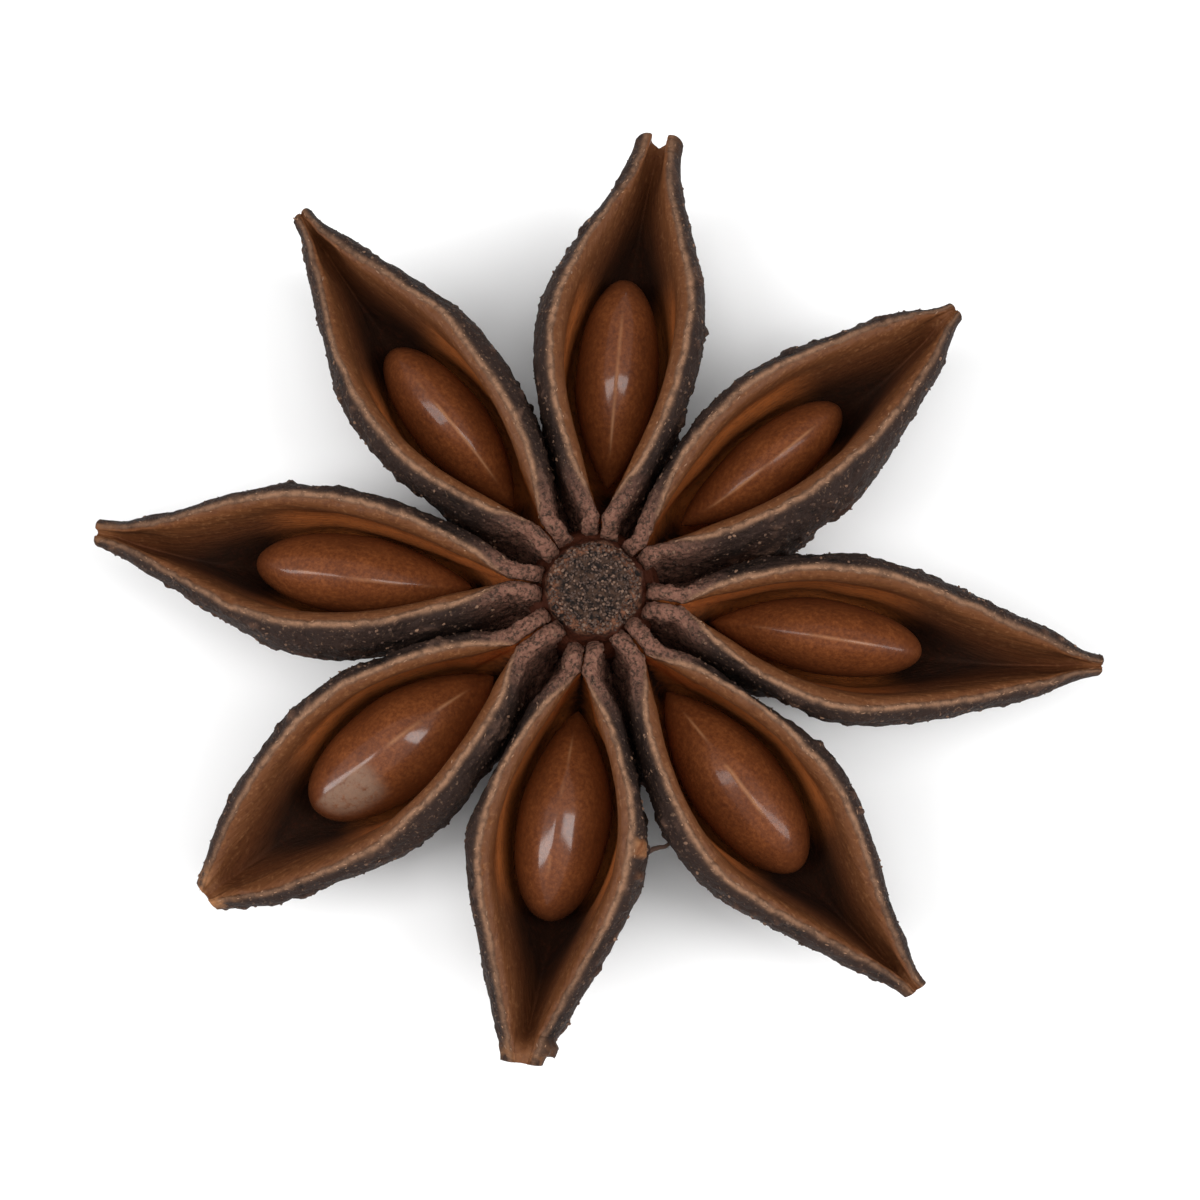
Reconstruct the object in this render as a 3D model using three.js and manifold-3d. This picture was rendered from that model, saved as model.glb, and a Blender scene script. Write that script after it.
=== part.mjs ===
// A star anise pod: eight woody carpels round a short column, each one split open along its top
// over a single glossy seed. Millimetres, +Z up, X to the right and Y away from the front.
// The origin is the middle of the flat stalk scar, level with the keels that the pod rests on.

import * as THREE from 'three';
import { mergeVertices } from 'three/addons/utils/BufferGeometryUtils.js';
import Module from 'manifold-3d';

// ---------------------------------------------------------------- driving dimensions

const FACE = 8.0; // height of the column's top above the ground
const ROOT = 0.9; // distance from the axis at which a carpel begins, inside the column
const CREST = 0.1; // half the thickness of a rim's thin upper edge
const CREASE = 0.14; // half-width of the closed seam between two lips beside the column
const CREASE_DEPTH = 0.55;
const BAND = 0.58; // how far the outer wall stands out beside the rim
const BAND_TIP = 0.8; // share of that left at the tip
const LIP_BAND = 0.5; // the same beside the column, where the rims are lips
const LIP_END = 4.6; // distance from the axis at which the lips are down to plain rims
const SHOULDER_DROP = 0.6; // how far below the rim the wall is widest
const FLANK_SLOPE = Math.tan(THREE.MathUtils.degToRad(7));
const KEEL_SHARE = 0.45; // share of the height that the rounded keel takes
const KEEL_POWER = 1.12; // 1 is an elliptic keel, more is a sharper one
const RIM_ARCH = 0.25; // how far the rims rise above the column's top
const ARCH_PLACE = 0.35; // share of the reach at which they do
const DROOP_START = 0.4; // share of the reach from which they fall
const DROOP_POWER = 1.7;
const NECK = 0.6; // 0 is an even fall, 1 a hollow neck before the beak
const KEEL_ROOT = 0.9; // height of a keel where it leaves the stalk scar
const KEEL_FOOT = 5.0; // distance at which it comes down to the ground
const KEEL_LIFT = 0.48; // share of the reach at which it rises again
const KEEL_CURVE = 1.9;
const BELLY = 0.12; // depth of keel that the ground's flat cuts off
const BEAK_DEPTH = 0.8; // height of the beak at its tip
const SLOT_DEPTH = 0.4; // depth of the cleft in the tip
const PINCH_START = 0.88; // share of the reach from which a beak is pressed together
const FLOOR = 1.9; // height of the seed chamber's floor
const FLOOR_START = 4.8; // the chamber is at full depth between these two distances
const FLOOR_END = 9.2;
const FLOOR_RISE = 0.9; // how slowly the floor rises from there; 1 is an even slope
const THROAT_SHARE = 0.46; // level of the chamber's widest place, as a share of its depth
const THROAT_WIDTH = 0.72; // its half-width there, as a share of the rim's
const THROAT_ROOM = 0.32; // the least room it leaves beside the seed
const THROAT_LIMIT = 0.97; // the most its half-width may be, as a share of the opening's
const THROAT_LEAN = 0.7; // how far its lower part leans with the seed, as a share of the seed's lean
const THROAT_TIP = 0.42; // its share of the rim's in the beak, where the walls close on a narrow cleft
const CLEFT_START = 0.3; // they begin to close this share of a half-length past the seed's middle
const CLEFT_LENGTH = 3.0; // and are as close as they come this far past its outer end
const CLEFT_LOW = 0.35; // share of the throat's half-width that is left beside the cleft's floor
const CHAMBER_LOW = 0.8; // the same beside the chamber's floor
const WALL_FLARE = 0.4; // how much of its slant a wall still has to go halfway down to the throat
const WALL_SWELL = 0.06; // how much less that is where the walls have closed
const SHIFT_LENGTH = 2.5; // past the slit, the chamber takes this long to come to its seed's side
const RISE_POWER = 0.9; // how fast the rims part from the seam outwards
const GROOVE = 0.88; // share of a carpel's sector that its lips fill, so that a groove shows
const FUSED = 1.03; // how far a carpel's flanks fill their sector beside the column
const FUSED_END = 4.5; // they do so out to this distance
const FREE = 8.0; // and stand free of the neighbours from this one on
const RELIEF = 0.16; // depth of the wrinkles on the outer walls
const TWIST_START = 3.0; // distance from the axis at which a carpel's roll begins
const TWIST_END = 7.0;
const SWELL_START = 3.5; // the walls swell over the seed between these distances
const SWELL_END = 13.5;

const SEED_LEVEL = 4.6; // height of a seed's middle
const SEED_HALF_HEIGHT = 2.15;
const SEED_INNER = { power: 1.6, root: 0.8 }; // its pointed inner half; 2 and 0.5 would be round
const SEED_OUTER = { power: 2.2, root: 0.5 }; // its blunt outer half
const SEED_RIDGE = 0.12; // height of the seam along the seed's top

const SCAR_RADIUS = 1.0; // the flat middle of the stalk scar
const SCAR_RING = 1.6; // the outer ring round it
const COLUMN_RADIUS = 2.25;
const DISC_RADIUS = 1.45;

const CARPEL_STATIONS = 22;
const SEED_STATIONS = 10;
const SEED_SIDES = 12;
const COLUMN_SIDES = 24;

// One row for each carpel, counter-clockwise seen from above:
// heading   direction of its body, degrees from +X
// reach     from the axis to the beak's tip
// slit      where the closed seam opens
// gape      half the distance between its rims where they are furthest apart
// peak      share of the reach at which that is
// tip       half-width of the beak's end
// taper, ogee   powers of the curve from the widest place to the tip
// sway      how far the tip bends to the left
// roll      how far the opening leans to the left, degrees
// bulge     how far the left and the right wall swell over the seed
// droop     how far the rim falls from the column's top to the tip
// notch     how far the rims reach past the keel at the tip
// pinch     how much narrower the beak's end is for being pressed together
// seed      where its middle is, outwards and to the left; half its length and width; and, in degrees,
//           how far it turns to the left and how far its top leans to the left
const CARPELS = [
  { name: 'right', heading: -11.4, reach: 17.6, slit: 2.8, gape: 2.22, peak: 0.52, tip: 0.16, taper: 1.7,
    ogee: 1.45, sway: 1.0, roll: -3, bulge: [0.1, 0], droop: 2.0, notch: 0.3, pinch: 0.45,
    seed: { at: [7.75, 0.2], half: [3.65, 1.3], turn: 2, lean: -6 } },
  { name: 'back_right', heading: 39.2, reach: 16.15, slit: 2.1, gape: 2.04, peak: 0.53, tip: 0.16,
    taper: 1.75, ogee: 1.15, sway: 0.05, roll: 5, bulge: [0, 0.5], droop: 1.8, notch: 0.2, pinch: 0.45,
    seed: { at: [7.5, 0.25], half: [3.45, 1.2], turn: 0, lean: -12 } },
  { name: 'back', heading: 84.8, reach: 16.65, slit: 2.25, gape: 2.22, peak: 0.565, tip: 0.4, taper: 1.95,
    ogee: 2.3, sway: -0.85, roll: -0.5, bulge: [0.1, 0.1], droop: 2.3, notch: 0.9, pinch: 0,
    seed: { at: [7.72, -0.1], half: [3.7, 1.45], turn: 0, lean: 0 } },
  { name: 'back_left', heading: 130.3, reach: 17.0, slit: 2.6, gape: 2.05, peak: 0.545, tip: 0.16,
    taper: 2.05, ogee: 2.1, sway: -0.8, roll: 4, bulge: [0.15, 0.2], droop: 2.0, notch: 0.2, pinch: 0.45,
    seed: { at: [7.85, 0], half: [3.5, 1.32], turn: -1, lean: 0 } },
  { name: 'left', heading: 174.4, reach: 17.4, slit: 2.65, gape: 2.14, peak: 0.58, tip: 0.23, taper: 1.95,
    ogee: 2.35, sway: -0.7, roll: -2, bulge: [0.5, 0], droop: 2.2, notch: 0.4, pinch: 0.3,
    seed: { at: [8.0, -0.25], half: [3.75, 1.4], turn: -2, lean: 14 } },
  { name: 'front_left', heading: 217.0, reach: 16.8, slit: 3.1, gape: 2.43, peak: 0.61, tip: 0.24, taper: 1.6,
    ogee: 0.9, sway: 0.3, roll: 1, bulge: [0.5, 0], droop: 2.4, notch: 0.1, pinch: 0.25,
    seed: { at: [8.15, 0], half: [3.85, 1.74], turn: 0, lean: 0 } },
  { name: 'front', heading: 261.5, reach: 16.2, slit: 2.75, gape: 2.46, peak: 0.575, tip: 0.32, taper: 1.35,
    ogee: 1.3, sway: -0.25, roll: -3.5, bulge: [0, 0], droop: 2.0, notch: 0.2, pinch: 0.1,
    seed: { at: [7.5, -0.1], half: [3.65, 1.6], turn: -1.5, lean: -2 } },
  { name: 'front_right', heading: 306.7, reach: 17.4, slit: 2.75, gape: 2.43, peak: 0.56, tip: 0.2,
    taper: 1.6, ogee: 1.8, sway: 0.7, roll: 0, bulge: [0, 0.2], droop: 2.2, notch: 0.2, pinch: 0.35,
    seed: { at: [7.8, 0.12], half: [3.8, 1.62], turn: 0, lean: -2 } },
];

const UP = new THREE.Vector3(0, 0, 1);
const COLOURS = { husk: 0x5b3a26, seed: 0x7a3f17 };

// ---------------------------------------------------------------- small helpers

const clamp = THREE.MathUtils.clamp;
const lerp = THREE.MathUtils.lerp;
const radians = THREE.MathUtils.degToRad;
const easeIn = (value) => THREE.MathUtils.smoothstep(value, 0, 1);

/** The smaller of two lengths, rounded over where they cross. */
function softMin(a, b, round = 0.25) {
  const share = clamp(0.5 + (b - a) / (2 * round), 0, 1);
  return lerp(b, a, share) - round * share * (1 - share) * 0.5;
}

/** A seeded random number generator that gives numbers from 0 to 1. */
function randomFrom(seed) {
  let state = seed;
  return () => {
    state = (state * 1664525 + 1013904223) % 4294967296;
    return state / 4294967296;
  };
}

/** A smooth uneven field over length and girth, from about -1 to 1, for one carpel's wrinkles. */
function wrinkles(seed) {
  const random = randomFrom(seed);
  const waves = [0.9, 1.6, 2.7].map((pitch) => ({
    along: pitch * lerp(0.8, 1.2, random()),
    round: pitch * lerp(0.9, 1.6, random()),
    phase: 2 * Math.PI * random(),
    turn: 2 * Math.PI * random(),
  }));
  return (x, girth) => waves.reduce(
    (sum, wave) => sum + Math.sin(wave.along * x + wave.phase) * Math.cos(wave.round * girth + wave.turn),
    0,
  ) / waves.length;
}

// ---------------------------------------------------------------- the carpel's lines along its length

/** Half the distance between the two rims. */
function rimHalfWidth(carpel, x) {
  const peak = carpel.peak * carpel.reach;
  if (x < peak) {
    const opened = clamp((x - carpel.slit) / (peak - carpel.slit), 0, 1);
    return Math.max(CREASE, carpel.gape * Math.sin((Math.PI / 2) * opened ** RISE_POWER));
  }
  const closed = (x - peak) / (carpel.reach - peak);
  return carpel.tip + (carpel.gape - carpel.tip) * (1 - closed ** carpel.taper) ** carpel.ogee;
}

/** Height of the rims: a low arch out from the column, then a fall to the beak. */
function rimHeight(carpel, x) {
  const share = x / carpel.reach;
  const arch = Math.max(0, 1 - ((share - ARCH_PLACE) / ARCH_PLACE) ** 2);
  const fallen = Math.max(0, (share - DROOP_START) / (1 - DROOP_START));
  return FACE + RIM_ARCH * arch - carpel.droop * lerp(fallen ** DROOP_POWER, easeIn(fallen), NECK);
}

/** Height of the keel under the carpel. */
function keelHeight(carpel, x) {
  const inner = Math.max(0, (KEEL_FOOT - x) / (KEEL_FOOT - SCAR_RING)) ** 2;
  const outer = Math.max(0, (x / carpel.reach - KEEL_LIFT) / (1 - KEEL_LIFT)) ** KEEL_CURVE;
  const tipHeight = FACE - carpel.droop - BEAK_DEPTH;
  return KEEL_ROOT * inner + (tipHeight + BELLY) * outer - BELLY;
}

/** Height of the seed chamber's floor. */
function floorHeight(carpel, x) {
  const rim = rimHeight(carpel, x);
  if (x < FLOOR_START) {
    const sunk = clamp((x - carpel.slit) / (FLOOR_START - carpel.slit), 0, 1) ** 0.6;
    return lerp(rim - CREASE_DEPTH, FLOOR, sunk);
  }
  const risen = clamp((x - FLOOR_END) / (carpel.reach - FLOOR_END), 0, 1) ** FLOOR_RISE;
  return lerp(FLOOR, FACE - carpel.droop - SLOT_DEPTH, risen);
}

/** Half-width of the outer wall just below the rim, kept inside the carpel's own sector. */
function shoulderHalfWidth(carpel, x, sector) {
  const band = lerp(LIP_BAND, BAND, easeIn((x - carpel.slit) / (LIP_END - carpel.slit)));
  const thinning = lerp(1, BAND_TIP, easeIn((x - LIP_END) / (carpel.reach - LIP_END)));
  const wanted = rimHalfWidth(carpel, x) + band * thinning;
  return softMin(wanted, GROOVE * x * Math.tan(sector));
}

// ---------------------------------------------------------------- one cross-section

/** How far one wall swells outwards over the seed. */
function swelling(carpel, x, side) {
  const place = clamp((x - SWELL_START) / (SWELL_END - SWELL_START), 0, 1);
  return carpel.bulge[side] * Math.sin(Math.PI * place) ** 2;
}

/** The outer wall on one side, from beside the keel up to the rim, as [half-width, height] pairs. */
function outerSide(carpel, x, sector, swell) {
  const rim = rimHeight(carpel, x);
  const keel = keelHeight(carpel, x);
  const shoulder = shoulderHalfWidth(carpel, x, sector);
  const drop = Math.min(SHOULDER_DROP, 0.35 * (rim - keel));
  const top = rim - drop;
  const base = keel + KEEL_SHARE * (rim - keel);
  const free = Math.max(0.6 * shoulder, shoulder - FLANK_SLOPE * (top - base));
  const filled = Math.max(free, FUSED * x * Math.tan(sector));
  const baseWidth = lerp(filled, free, easeIn((x - FUSED_END) / (FREE - FUSED_END)));
  const keelCurve = [0.3, 0.58, 0.82].map((share) => {
    const angle = (Math.PI / 2) * share;
    return [
      (baseWidth + 0.5 * swell) * Math.sin(angle) ** KEEL_POWER,
      base - (base - keel) * Math.cos(angle) ** KEEL_POWER,
    ];
  });
  const crestWidth = Math.min(rimHalfWidth(carpel, x) + CREST, 0.9 * shoulder);
  return [
    ...keelCurve,
    [baseWidth + 0.5 * swell, base],
    [lerp(baseWidth, shoulder, 0.55) + swell, lerp(base, top, 0.5)],
    [shoulder + 0.3 * swell, top],
    [lerp(shoulder, crestWidth, 0.35), rim - 0.35 * drop],
    [crestWidth, rim],
  ];
}

/** How far the walls have closed in on the beak's cleft, from 0 beside the seed to 1 past it. */
function closedIn(carpel, x) {
  const [middle] = carpel.seed.at;
  const [halfLength] = carpel.seed.half;
  const start = middle + CLEFT_START * halfLength;
  return easeIn((x - start) / (middle + halfLength + CLEFT_LENGTH - start));
}

/** How far the chamber lies to the left of the slit's line at a height, to make room for its seed. */
function chamberShift(carpel, x, z) {
  const leaning = THROAT_LEAN * Math.tan(radians(carpel.seed.lean)) * Math.min(0, z - SEED_LEVEL);
  return (carpel.seed.at[1] + leaning) * easeIn((x - carpel.slit) / SHIFT_LENGTH) * (1 - closedIn(carpel, x));
}

/** How full a seed is at a place from -1, its inner end, to 1, its outer one. */
function fullness(place) {
  const { power, root } = place < 0 ? SEED_INNER : SEED_OUTER;
  return (1 - Math.abs(place) ** power) ** root;
}

/** Half the width of the carpel's seed at x. */
function seedHalfWidth(carpel, x) {
  const [middle] = carpel.seed.at;
  const [halfLength, halfWidth] = carpel.seed.half;
  return halfWidth * fullness(clamp((x - middle) / halfLength, -1, 1));
}

/** The inner wall on one side, from the rim down to beside the floor. */
function innerSide(carpel, x, sector, sign) {
  const rim = rimHeight(carpel, x);
  const floor = floorHeight(carpel, x);
  const half = rimHalfWidth(carpel, x);
  const edge = Math.max(0.35 * half, Math.min(half, 0.9 * shoulderHalfWidth(carpel, x, sector)) - CREST);
  const closing = closedIn(carpel, x);
  const level = lerp(floor, rim, THROAT_SHARE);
  const low = lerp(floor, level, 0.25);
  const wanted = lerp(THROAT_WIDTH, THROAT_TIP, closing) * half;
  const room = Math.max(wanted, seedHalfWidth(carpel, x) + THROAT_ROOM);
  const shiftAt = (z) => sign * chamberShift(carpel, x, z);
  const throat = Math.min(room + shiftAt(level), THROAT_LIMIT * edge);
  return [
    [edge, rim - 0.05],
    [lerp(throat, edge, WALL_FLARE - WALL_SWELL * closing), lerp(level, rim, 0.5)],
    [throat, level],
    [lerp(CHAMBER_LOW, CLEFT_LOW, closing) * (throat - shiftAt(level)) + shiftAt(low), low],
  ];
}

/** The whole section at x: from the keel up one side, round the inside and down the other. */
function carpelSection(carpel, x, relief) {
  const middle = FACE / 2;
  const keel = [0, keelHeight(carpel, x)];
  const bottom = floorHeight(carpel, x);
  const floor = [chamberShift(carpel, x, bottom), bottom];
  const depth = RELIEF * easeIn((x - LIP_END + 2) / 2) * (1 - (x / carpel.reach) ** 6);
  const side = (sector, sign, swell) => ({
    outer: outerSide(carpel, x, sector, swell).map(([width, height], index, all) => {
      const bump = index < all.length - 2 ? depth * relief(x, sign * (1 + index)) : 0;
      const length = Math.hypot(width, height - middle);
      return [sign * width * (1 + bump / length), middle + (height - middle) * (1 + bump / length)];
    }),
    inner: innerSide(carpel, x, sector, sign).map(([width, height]) => [sign * width, height]),
  });
  const left = side(carpel.leftSector, 1, swelling(carpel, x, 0));
  const right = side(carpel.rightSector, -1, swelling(carpel, x, 1));
  return [
    keel,
    ...left.outer,
    ...left.inner,
    floor,
    ...right.inner.reverse(),
    ...right.outer.reverse(),
  ];
}

/** Distances from the axis at which a carpel is cut, closer together at the seam and at the tip. */
function carpelStations(carpel) {
  return Array.from({ length: CARPEL_STATIONS }, (_, index) => {
    const share = index / (CARPEL_STATIONS - 1);
    const eased = share - (0.45 * Math.sin(2 * Math.PI * share)) / (2 * Math.PI);
    return lerp(ROOT, carpel.reach, eased);
  });
}

/** A point of the carpel's own upright section, leaned over about the rims and turned to its heading. */
function placed(carpel, x, y, z) {
  const roll = radians(carpel.roll) * easeIn((x - TWIST_START) / (TWIST_END - TWIST_START));
  const level = z - FACE;
  const leaned = y * Math.cos(roll) + level * Math.sin(roll);
  const height = FACE + level * Math.cos(roll) - y * Math.sin(roll);
  return new THREE.Vector3(x, leaned, height).applyAxisAngle(UP, radians(carpel.heading));
}

/** One section's points in the pod's frame, with the beak bent sideways and its end cut back. */
function placeSection(carpel, x, section) {
  const bend = carpel.sway * Math.max(0, (x / carpel.reach - 0.45) / 0.55) ** 1.6;
  const keel = keelHeight(carpel, x);
  const height = rimHeight(carpel, x) - keel;
  const cutBack = carpel.notch * (x / carpel.reach) ** 12;
  const pressed = 1 - carpel.pinch * easeIn((x / carpel.reach - PINCH_START) / (1 - PINCH_START));
  return section.map(([y, z]) => {
    const lowness = 1 - (z - keel) / height;
    return placed(carpel, x - cutBack * lowness, y * pressed + bend, z);
  });
}

// ---------------------------------------------------------------- solids

/** A closed geometry through rings of equal length; flat holds each end ring's own 2-D outline. */
function loft(rings, firstFlat, lastFlat) {
  const sides = rings[0].length;
  const indices = [];
  for (let ring = 0; ring + 1 < rings.length; ring += 1) {
    for (let side = 0; side < sides; side += 1) {
      const next = (side + 1) % sides;
      const [a, b] = [ring * sides + side, ring * sides + next];
      const [c, d] = [b + sides, a + sides];
      indices.push(a, b, c, a, c, d);
    }
  }
  const cap = (flat, offset, reversed) => {
    const outline = flat.map(([y, z]) => new THREE.Vector2(y, z));
    THREE.ShapeUtils.triangulateShape(outline, []).forEach(([a, b, c]) => {
      indices.push(...(reversed ? [a, c, b] : [a, b, c]).map((index) => index + offset));
    });
  };
  cap(firstFlat, 0, true);
  cap(lastFlat, (rings.length - 1) * sides, false);
  const geometry = new THREE.BufferGeometry();
  geometry.setFromPoints(rings.flat());
  geometry.setIndex(indices);
  return geometry;
}

/** One carpel, open along its top and closed at both ends. */
function carpelGeometry(carpel, seed) {
  const relief = wrinkles(seed);
  const stations = carpelStations(carpel);
  const sections = stations.map((x) => carpelSection(carpel, x, relief));
  const rings = sections.map((section, index) => placeSection(carpel, stations[index], section));
  return loft(rings, sections[0], sections.at(-1));
}

/** The column that the carpels grow from: a disc with a moat above, the stalk's scar below. */
function columnGeometry() {
  const outline = [
    [0, 0],
    [SCAR_RADIUS, 0],
    [SCAR_RADIUS + 0.08, 0.2],
    [SCAR_RADIUS + 0.26, 0.22],
    [SCAR_RADIUS + 0.36, 0.06],
    [SCAR_RING, 0.12],
    [SCAR_RING + 0.08, 0.5],
    [SCAR_RING + 0.1, KEEL_ROOT + 0.4],
    [COLUMN_RADIUS - 0.2, 0.3 * FACE],
    [COLUMN_RADIUS, 0.6 * FACE],
    [COLUMN_RADIUS, FACE - 0.9],
    [COLUMN_RADIUS - 0.2, FACE - 0.35],
    [DISC_RADIUS + 0.3, FACE - 0.4],
    [DISC_RADIUS + 0.1, FACE - 0.08],
    [DISC_RADIUS - 0.2, FACE],
    [0, FACE - 0.06],
  ].map(([radius, height]) => new THREE.Vector2(radius, height));
  return new THREE.LatheGeometry(outline, COLUMN_SIDES).rotateX(Math.PI / 2);
}

/** A seed: an egg with a blunt outer end and a pointed inner one, and a low ridge along its top. */
function seedGeometry(carpel) {
  const { at, half, turn, lean } = carpel.seed;
  const yaw = radians(turn);
  const tilt = radians(lean);
  const sections = Array.from({ length: SEED_STATIONS }, (_, index) => {
    const place = -Math.cos(Math.PI * lerp(0.05, 0.95, index / (SEED_STATIONS - 1)));
    const full = fullness(place);
    const ring = Array.from({ length: SEED_SIDES }, (__, side) => {
      const angle = (2 * Math.PI * side) / SEED_SIDES;
      const ridge = side * 4 === SEED_SIDES ? SEED_RIDGE * full : 0;
      const across = half[1] * full * Math.cos(angle);
      const up = SEED_HALF_HEIGHT * full * Math.sin(angle) + ridge;
      return [across * Math.cos(tilt) + up * Math.sin(tilt), up * Math.cos(tilt) - across * Math.sin(tilt)];
    });
    return { along: half[0] * place, ring };
  });
  const rings = sections.map(({ along, ring }) => ring.map(([y, z]) => placed(
    carpel,
    at[0] + along * Math.cos(yaw) - y * Math.sin(yaw),
    at[1] + along * Math.sin(yaw) + y * Math.cos(yaw),
    SEED_LEVEL + z,
  )));
  return loft(rings, sections[0].ring, sections.at(-1).ring);
}

/** Each carpel with the half-angles between it and its two neighbours. */
function withSectors(carpels) {
  const turn = (from, to) => THREE.MathUtils.euclideanModulo(to - from, 360);
  return carpels.map((carpel, index) => {
    const next = carpels[(index + 1) % carpels.length];
    const last = carpels.at(index - 1);
    return {
      ...carpel,
      leftSector: radians(turn(carpel.heading, next.heading) / 2),
      rightSector: radians(turn(last.heading, carpel.heading) / 2),
    };
  });
}

// ---------------------------------------------------------------- joining and cutting

const wasm = await Module();
wasm.setup();

/** A three.js geometry as a manifold solid. */
function solidOf(geometry) {
  const bare = geometry.clone();
  bare.deleteAttribute('normal');
  bare.deleteAttribute('uv');
  const merged = mergeVertices(bare, 1e-5);
  return new wasm.Manifold(new wasm.Mesh({
    numProp: 3,
    vertProperties: Float32Array.from(merged.attributes.position.array),
    triVerts: Uint32Array.from(merged.index.array),
  }));
}

/** A manifold solid as a three.js geometry. */
function geometryOf(solid) {
  const mesh = solid.getMesh();
  const geometry = new THREE.BufferGeometry();
  geometry.setAttribute('position', new THREE.BufferAttribute(Float32Array.from(mesh.vertProperties), 3));
  geometry.setIndex(Array.from(mesh.triVerts));
  geometry.computeVertexNormals();
  return geometry;
}

/** The husk: all carpels and the column in one piece, with the keels cut level with the ground. */
function huskGeometry(carpels) {
  const ground = new THREE.BoxGeometry(60, 60, 10).translate(0, 0, -5);
  const joined = carpels.reduce(
    (husk, carpel, index) => husk.add(solidOf(carpelGeometry(carpel, 11 + index))),
    solidOf(columnGeometry()),
  );
  return geometryOf(joined.subtract(solidOf(ground)));
}

// ---------------------------------------------------------------- the pod

const huskMaterial = new THREE.MeshStandardMaterial({ color: COLOURS.husk, roughness: 0.8, metalness: 0 });
const seedMaterial = new THREE.MeshStandardMaterial({ color: COLOURS.seed, roughness: 0.25, metalness: 0 });

const pod = new THREE.Group();
const carpels = withSectors(CARPELS);

const husk = new THREE.Mesh(huskGeometry(carpels), huskMaterial);
husk.name = 'husk';
pod.add(husk);

carpels.forEach((carpel) => {
  const seed = new THREE.Mesh(seedGeometry(carpel), seedMaterial);
  seed.name = `seed_${carpel.name}`;
  pod.add(seed);
});

export default pod;
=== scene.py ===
"""A star anise pod in fine detail: woody carpels, glossy seeds, the column and its stalk scar.

Forms are worked out in millimetres and written to the meshes in metres. +Z is up, and the pod
rests on its keels at z = 0, round an upright axis through the origin.
"""

import logging
import math
from dataclasses import dataclass, field, replace
from enum import Enum

import bpy
import numpy as np
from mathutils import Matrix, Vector

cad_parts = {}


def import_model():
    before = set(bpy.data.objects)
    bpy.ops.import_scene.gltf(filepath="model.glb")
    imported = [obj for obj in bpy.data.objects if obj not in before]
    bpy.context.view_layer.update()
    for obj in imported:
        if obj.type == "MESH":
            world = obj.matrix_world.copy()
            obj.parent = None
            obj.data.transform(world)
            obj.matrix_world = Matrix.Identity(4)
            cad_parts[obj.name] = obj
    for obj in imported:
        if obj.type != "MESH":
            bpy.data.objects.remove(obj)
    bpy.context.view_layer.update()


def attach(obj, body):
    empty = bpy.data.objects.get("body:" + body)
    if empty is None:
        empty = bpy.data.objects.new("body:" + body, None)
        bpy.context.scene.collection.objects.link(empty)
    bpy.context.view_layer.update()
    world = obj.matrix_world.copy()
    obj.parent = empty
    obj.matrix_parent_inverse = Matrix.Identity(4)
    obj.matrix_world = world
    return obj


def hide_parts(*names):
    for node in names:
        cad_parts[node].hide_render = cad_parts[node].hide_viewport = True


MM = 0.001
BODY = "root"

# How far apart the finishes' noise is taken for one carpel or seed and the next, in millimetres.
CARPEL_APART = 40.0
SEED_APART = 30.0

Array = np.ndarray
Colour = tuple[float, float, float, float]
Triple = tuple[float, float, float]
Values = dict[object, object]
Socket = bpy.types.NodeSocket
Piece = bpy.types.Object
Material = bpy.types.Material

log = logging.getLogger("star_anise")


# ---------------------------------------------------------------- numbers


def clamp01(value: Array) -> Array:
    """Limits values to 0 to 1."""
    return np.clip(value, 0.0, 1.0)


def ease(value: Array) -> Array:
    """A smooth step from 0 to 1 as the value goes from 0 to 1."""
    held = clamp01(value)
    return held * held * (3.0 - 2.0 * held)


def between(value: Array, start: float, end: float) -> Array:
    """How far a value is from start to end, held to 0 to 1."""
    return clamp01((value - start) / (end - start))


def lerp(start: Array, end: Array, share: Array) -> Array:
    """The value at a share of the way from start to end."""
    return start + (end - start) * share


def soft_min(first: Array, second: Array) -> Array:
    """The smaller of two lengths in millimetres, rounded over where they cross."""
    width = 0.25
    share = clamp01(0.5 + (second - first) / (2 * width))
    return lerp(second, first, share) - width * share * (1 - share) * 0.5


def bell(distance: Array, width: float) -> Array:
    """1 at distance 0, falling smoothly to nothing over about twice the width."""
    return np.exp(-((distance / width) ** 2))


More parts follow.
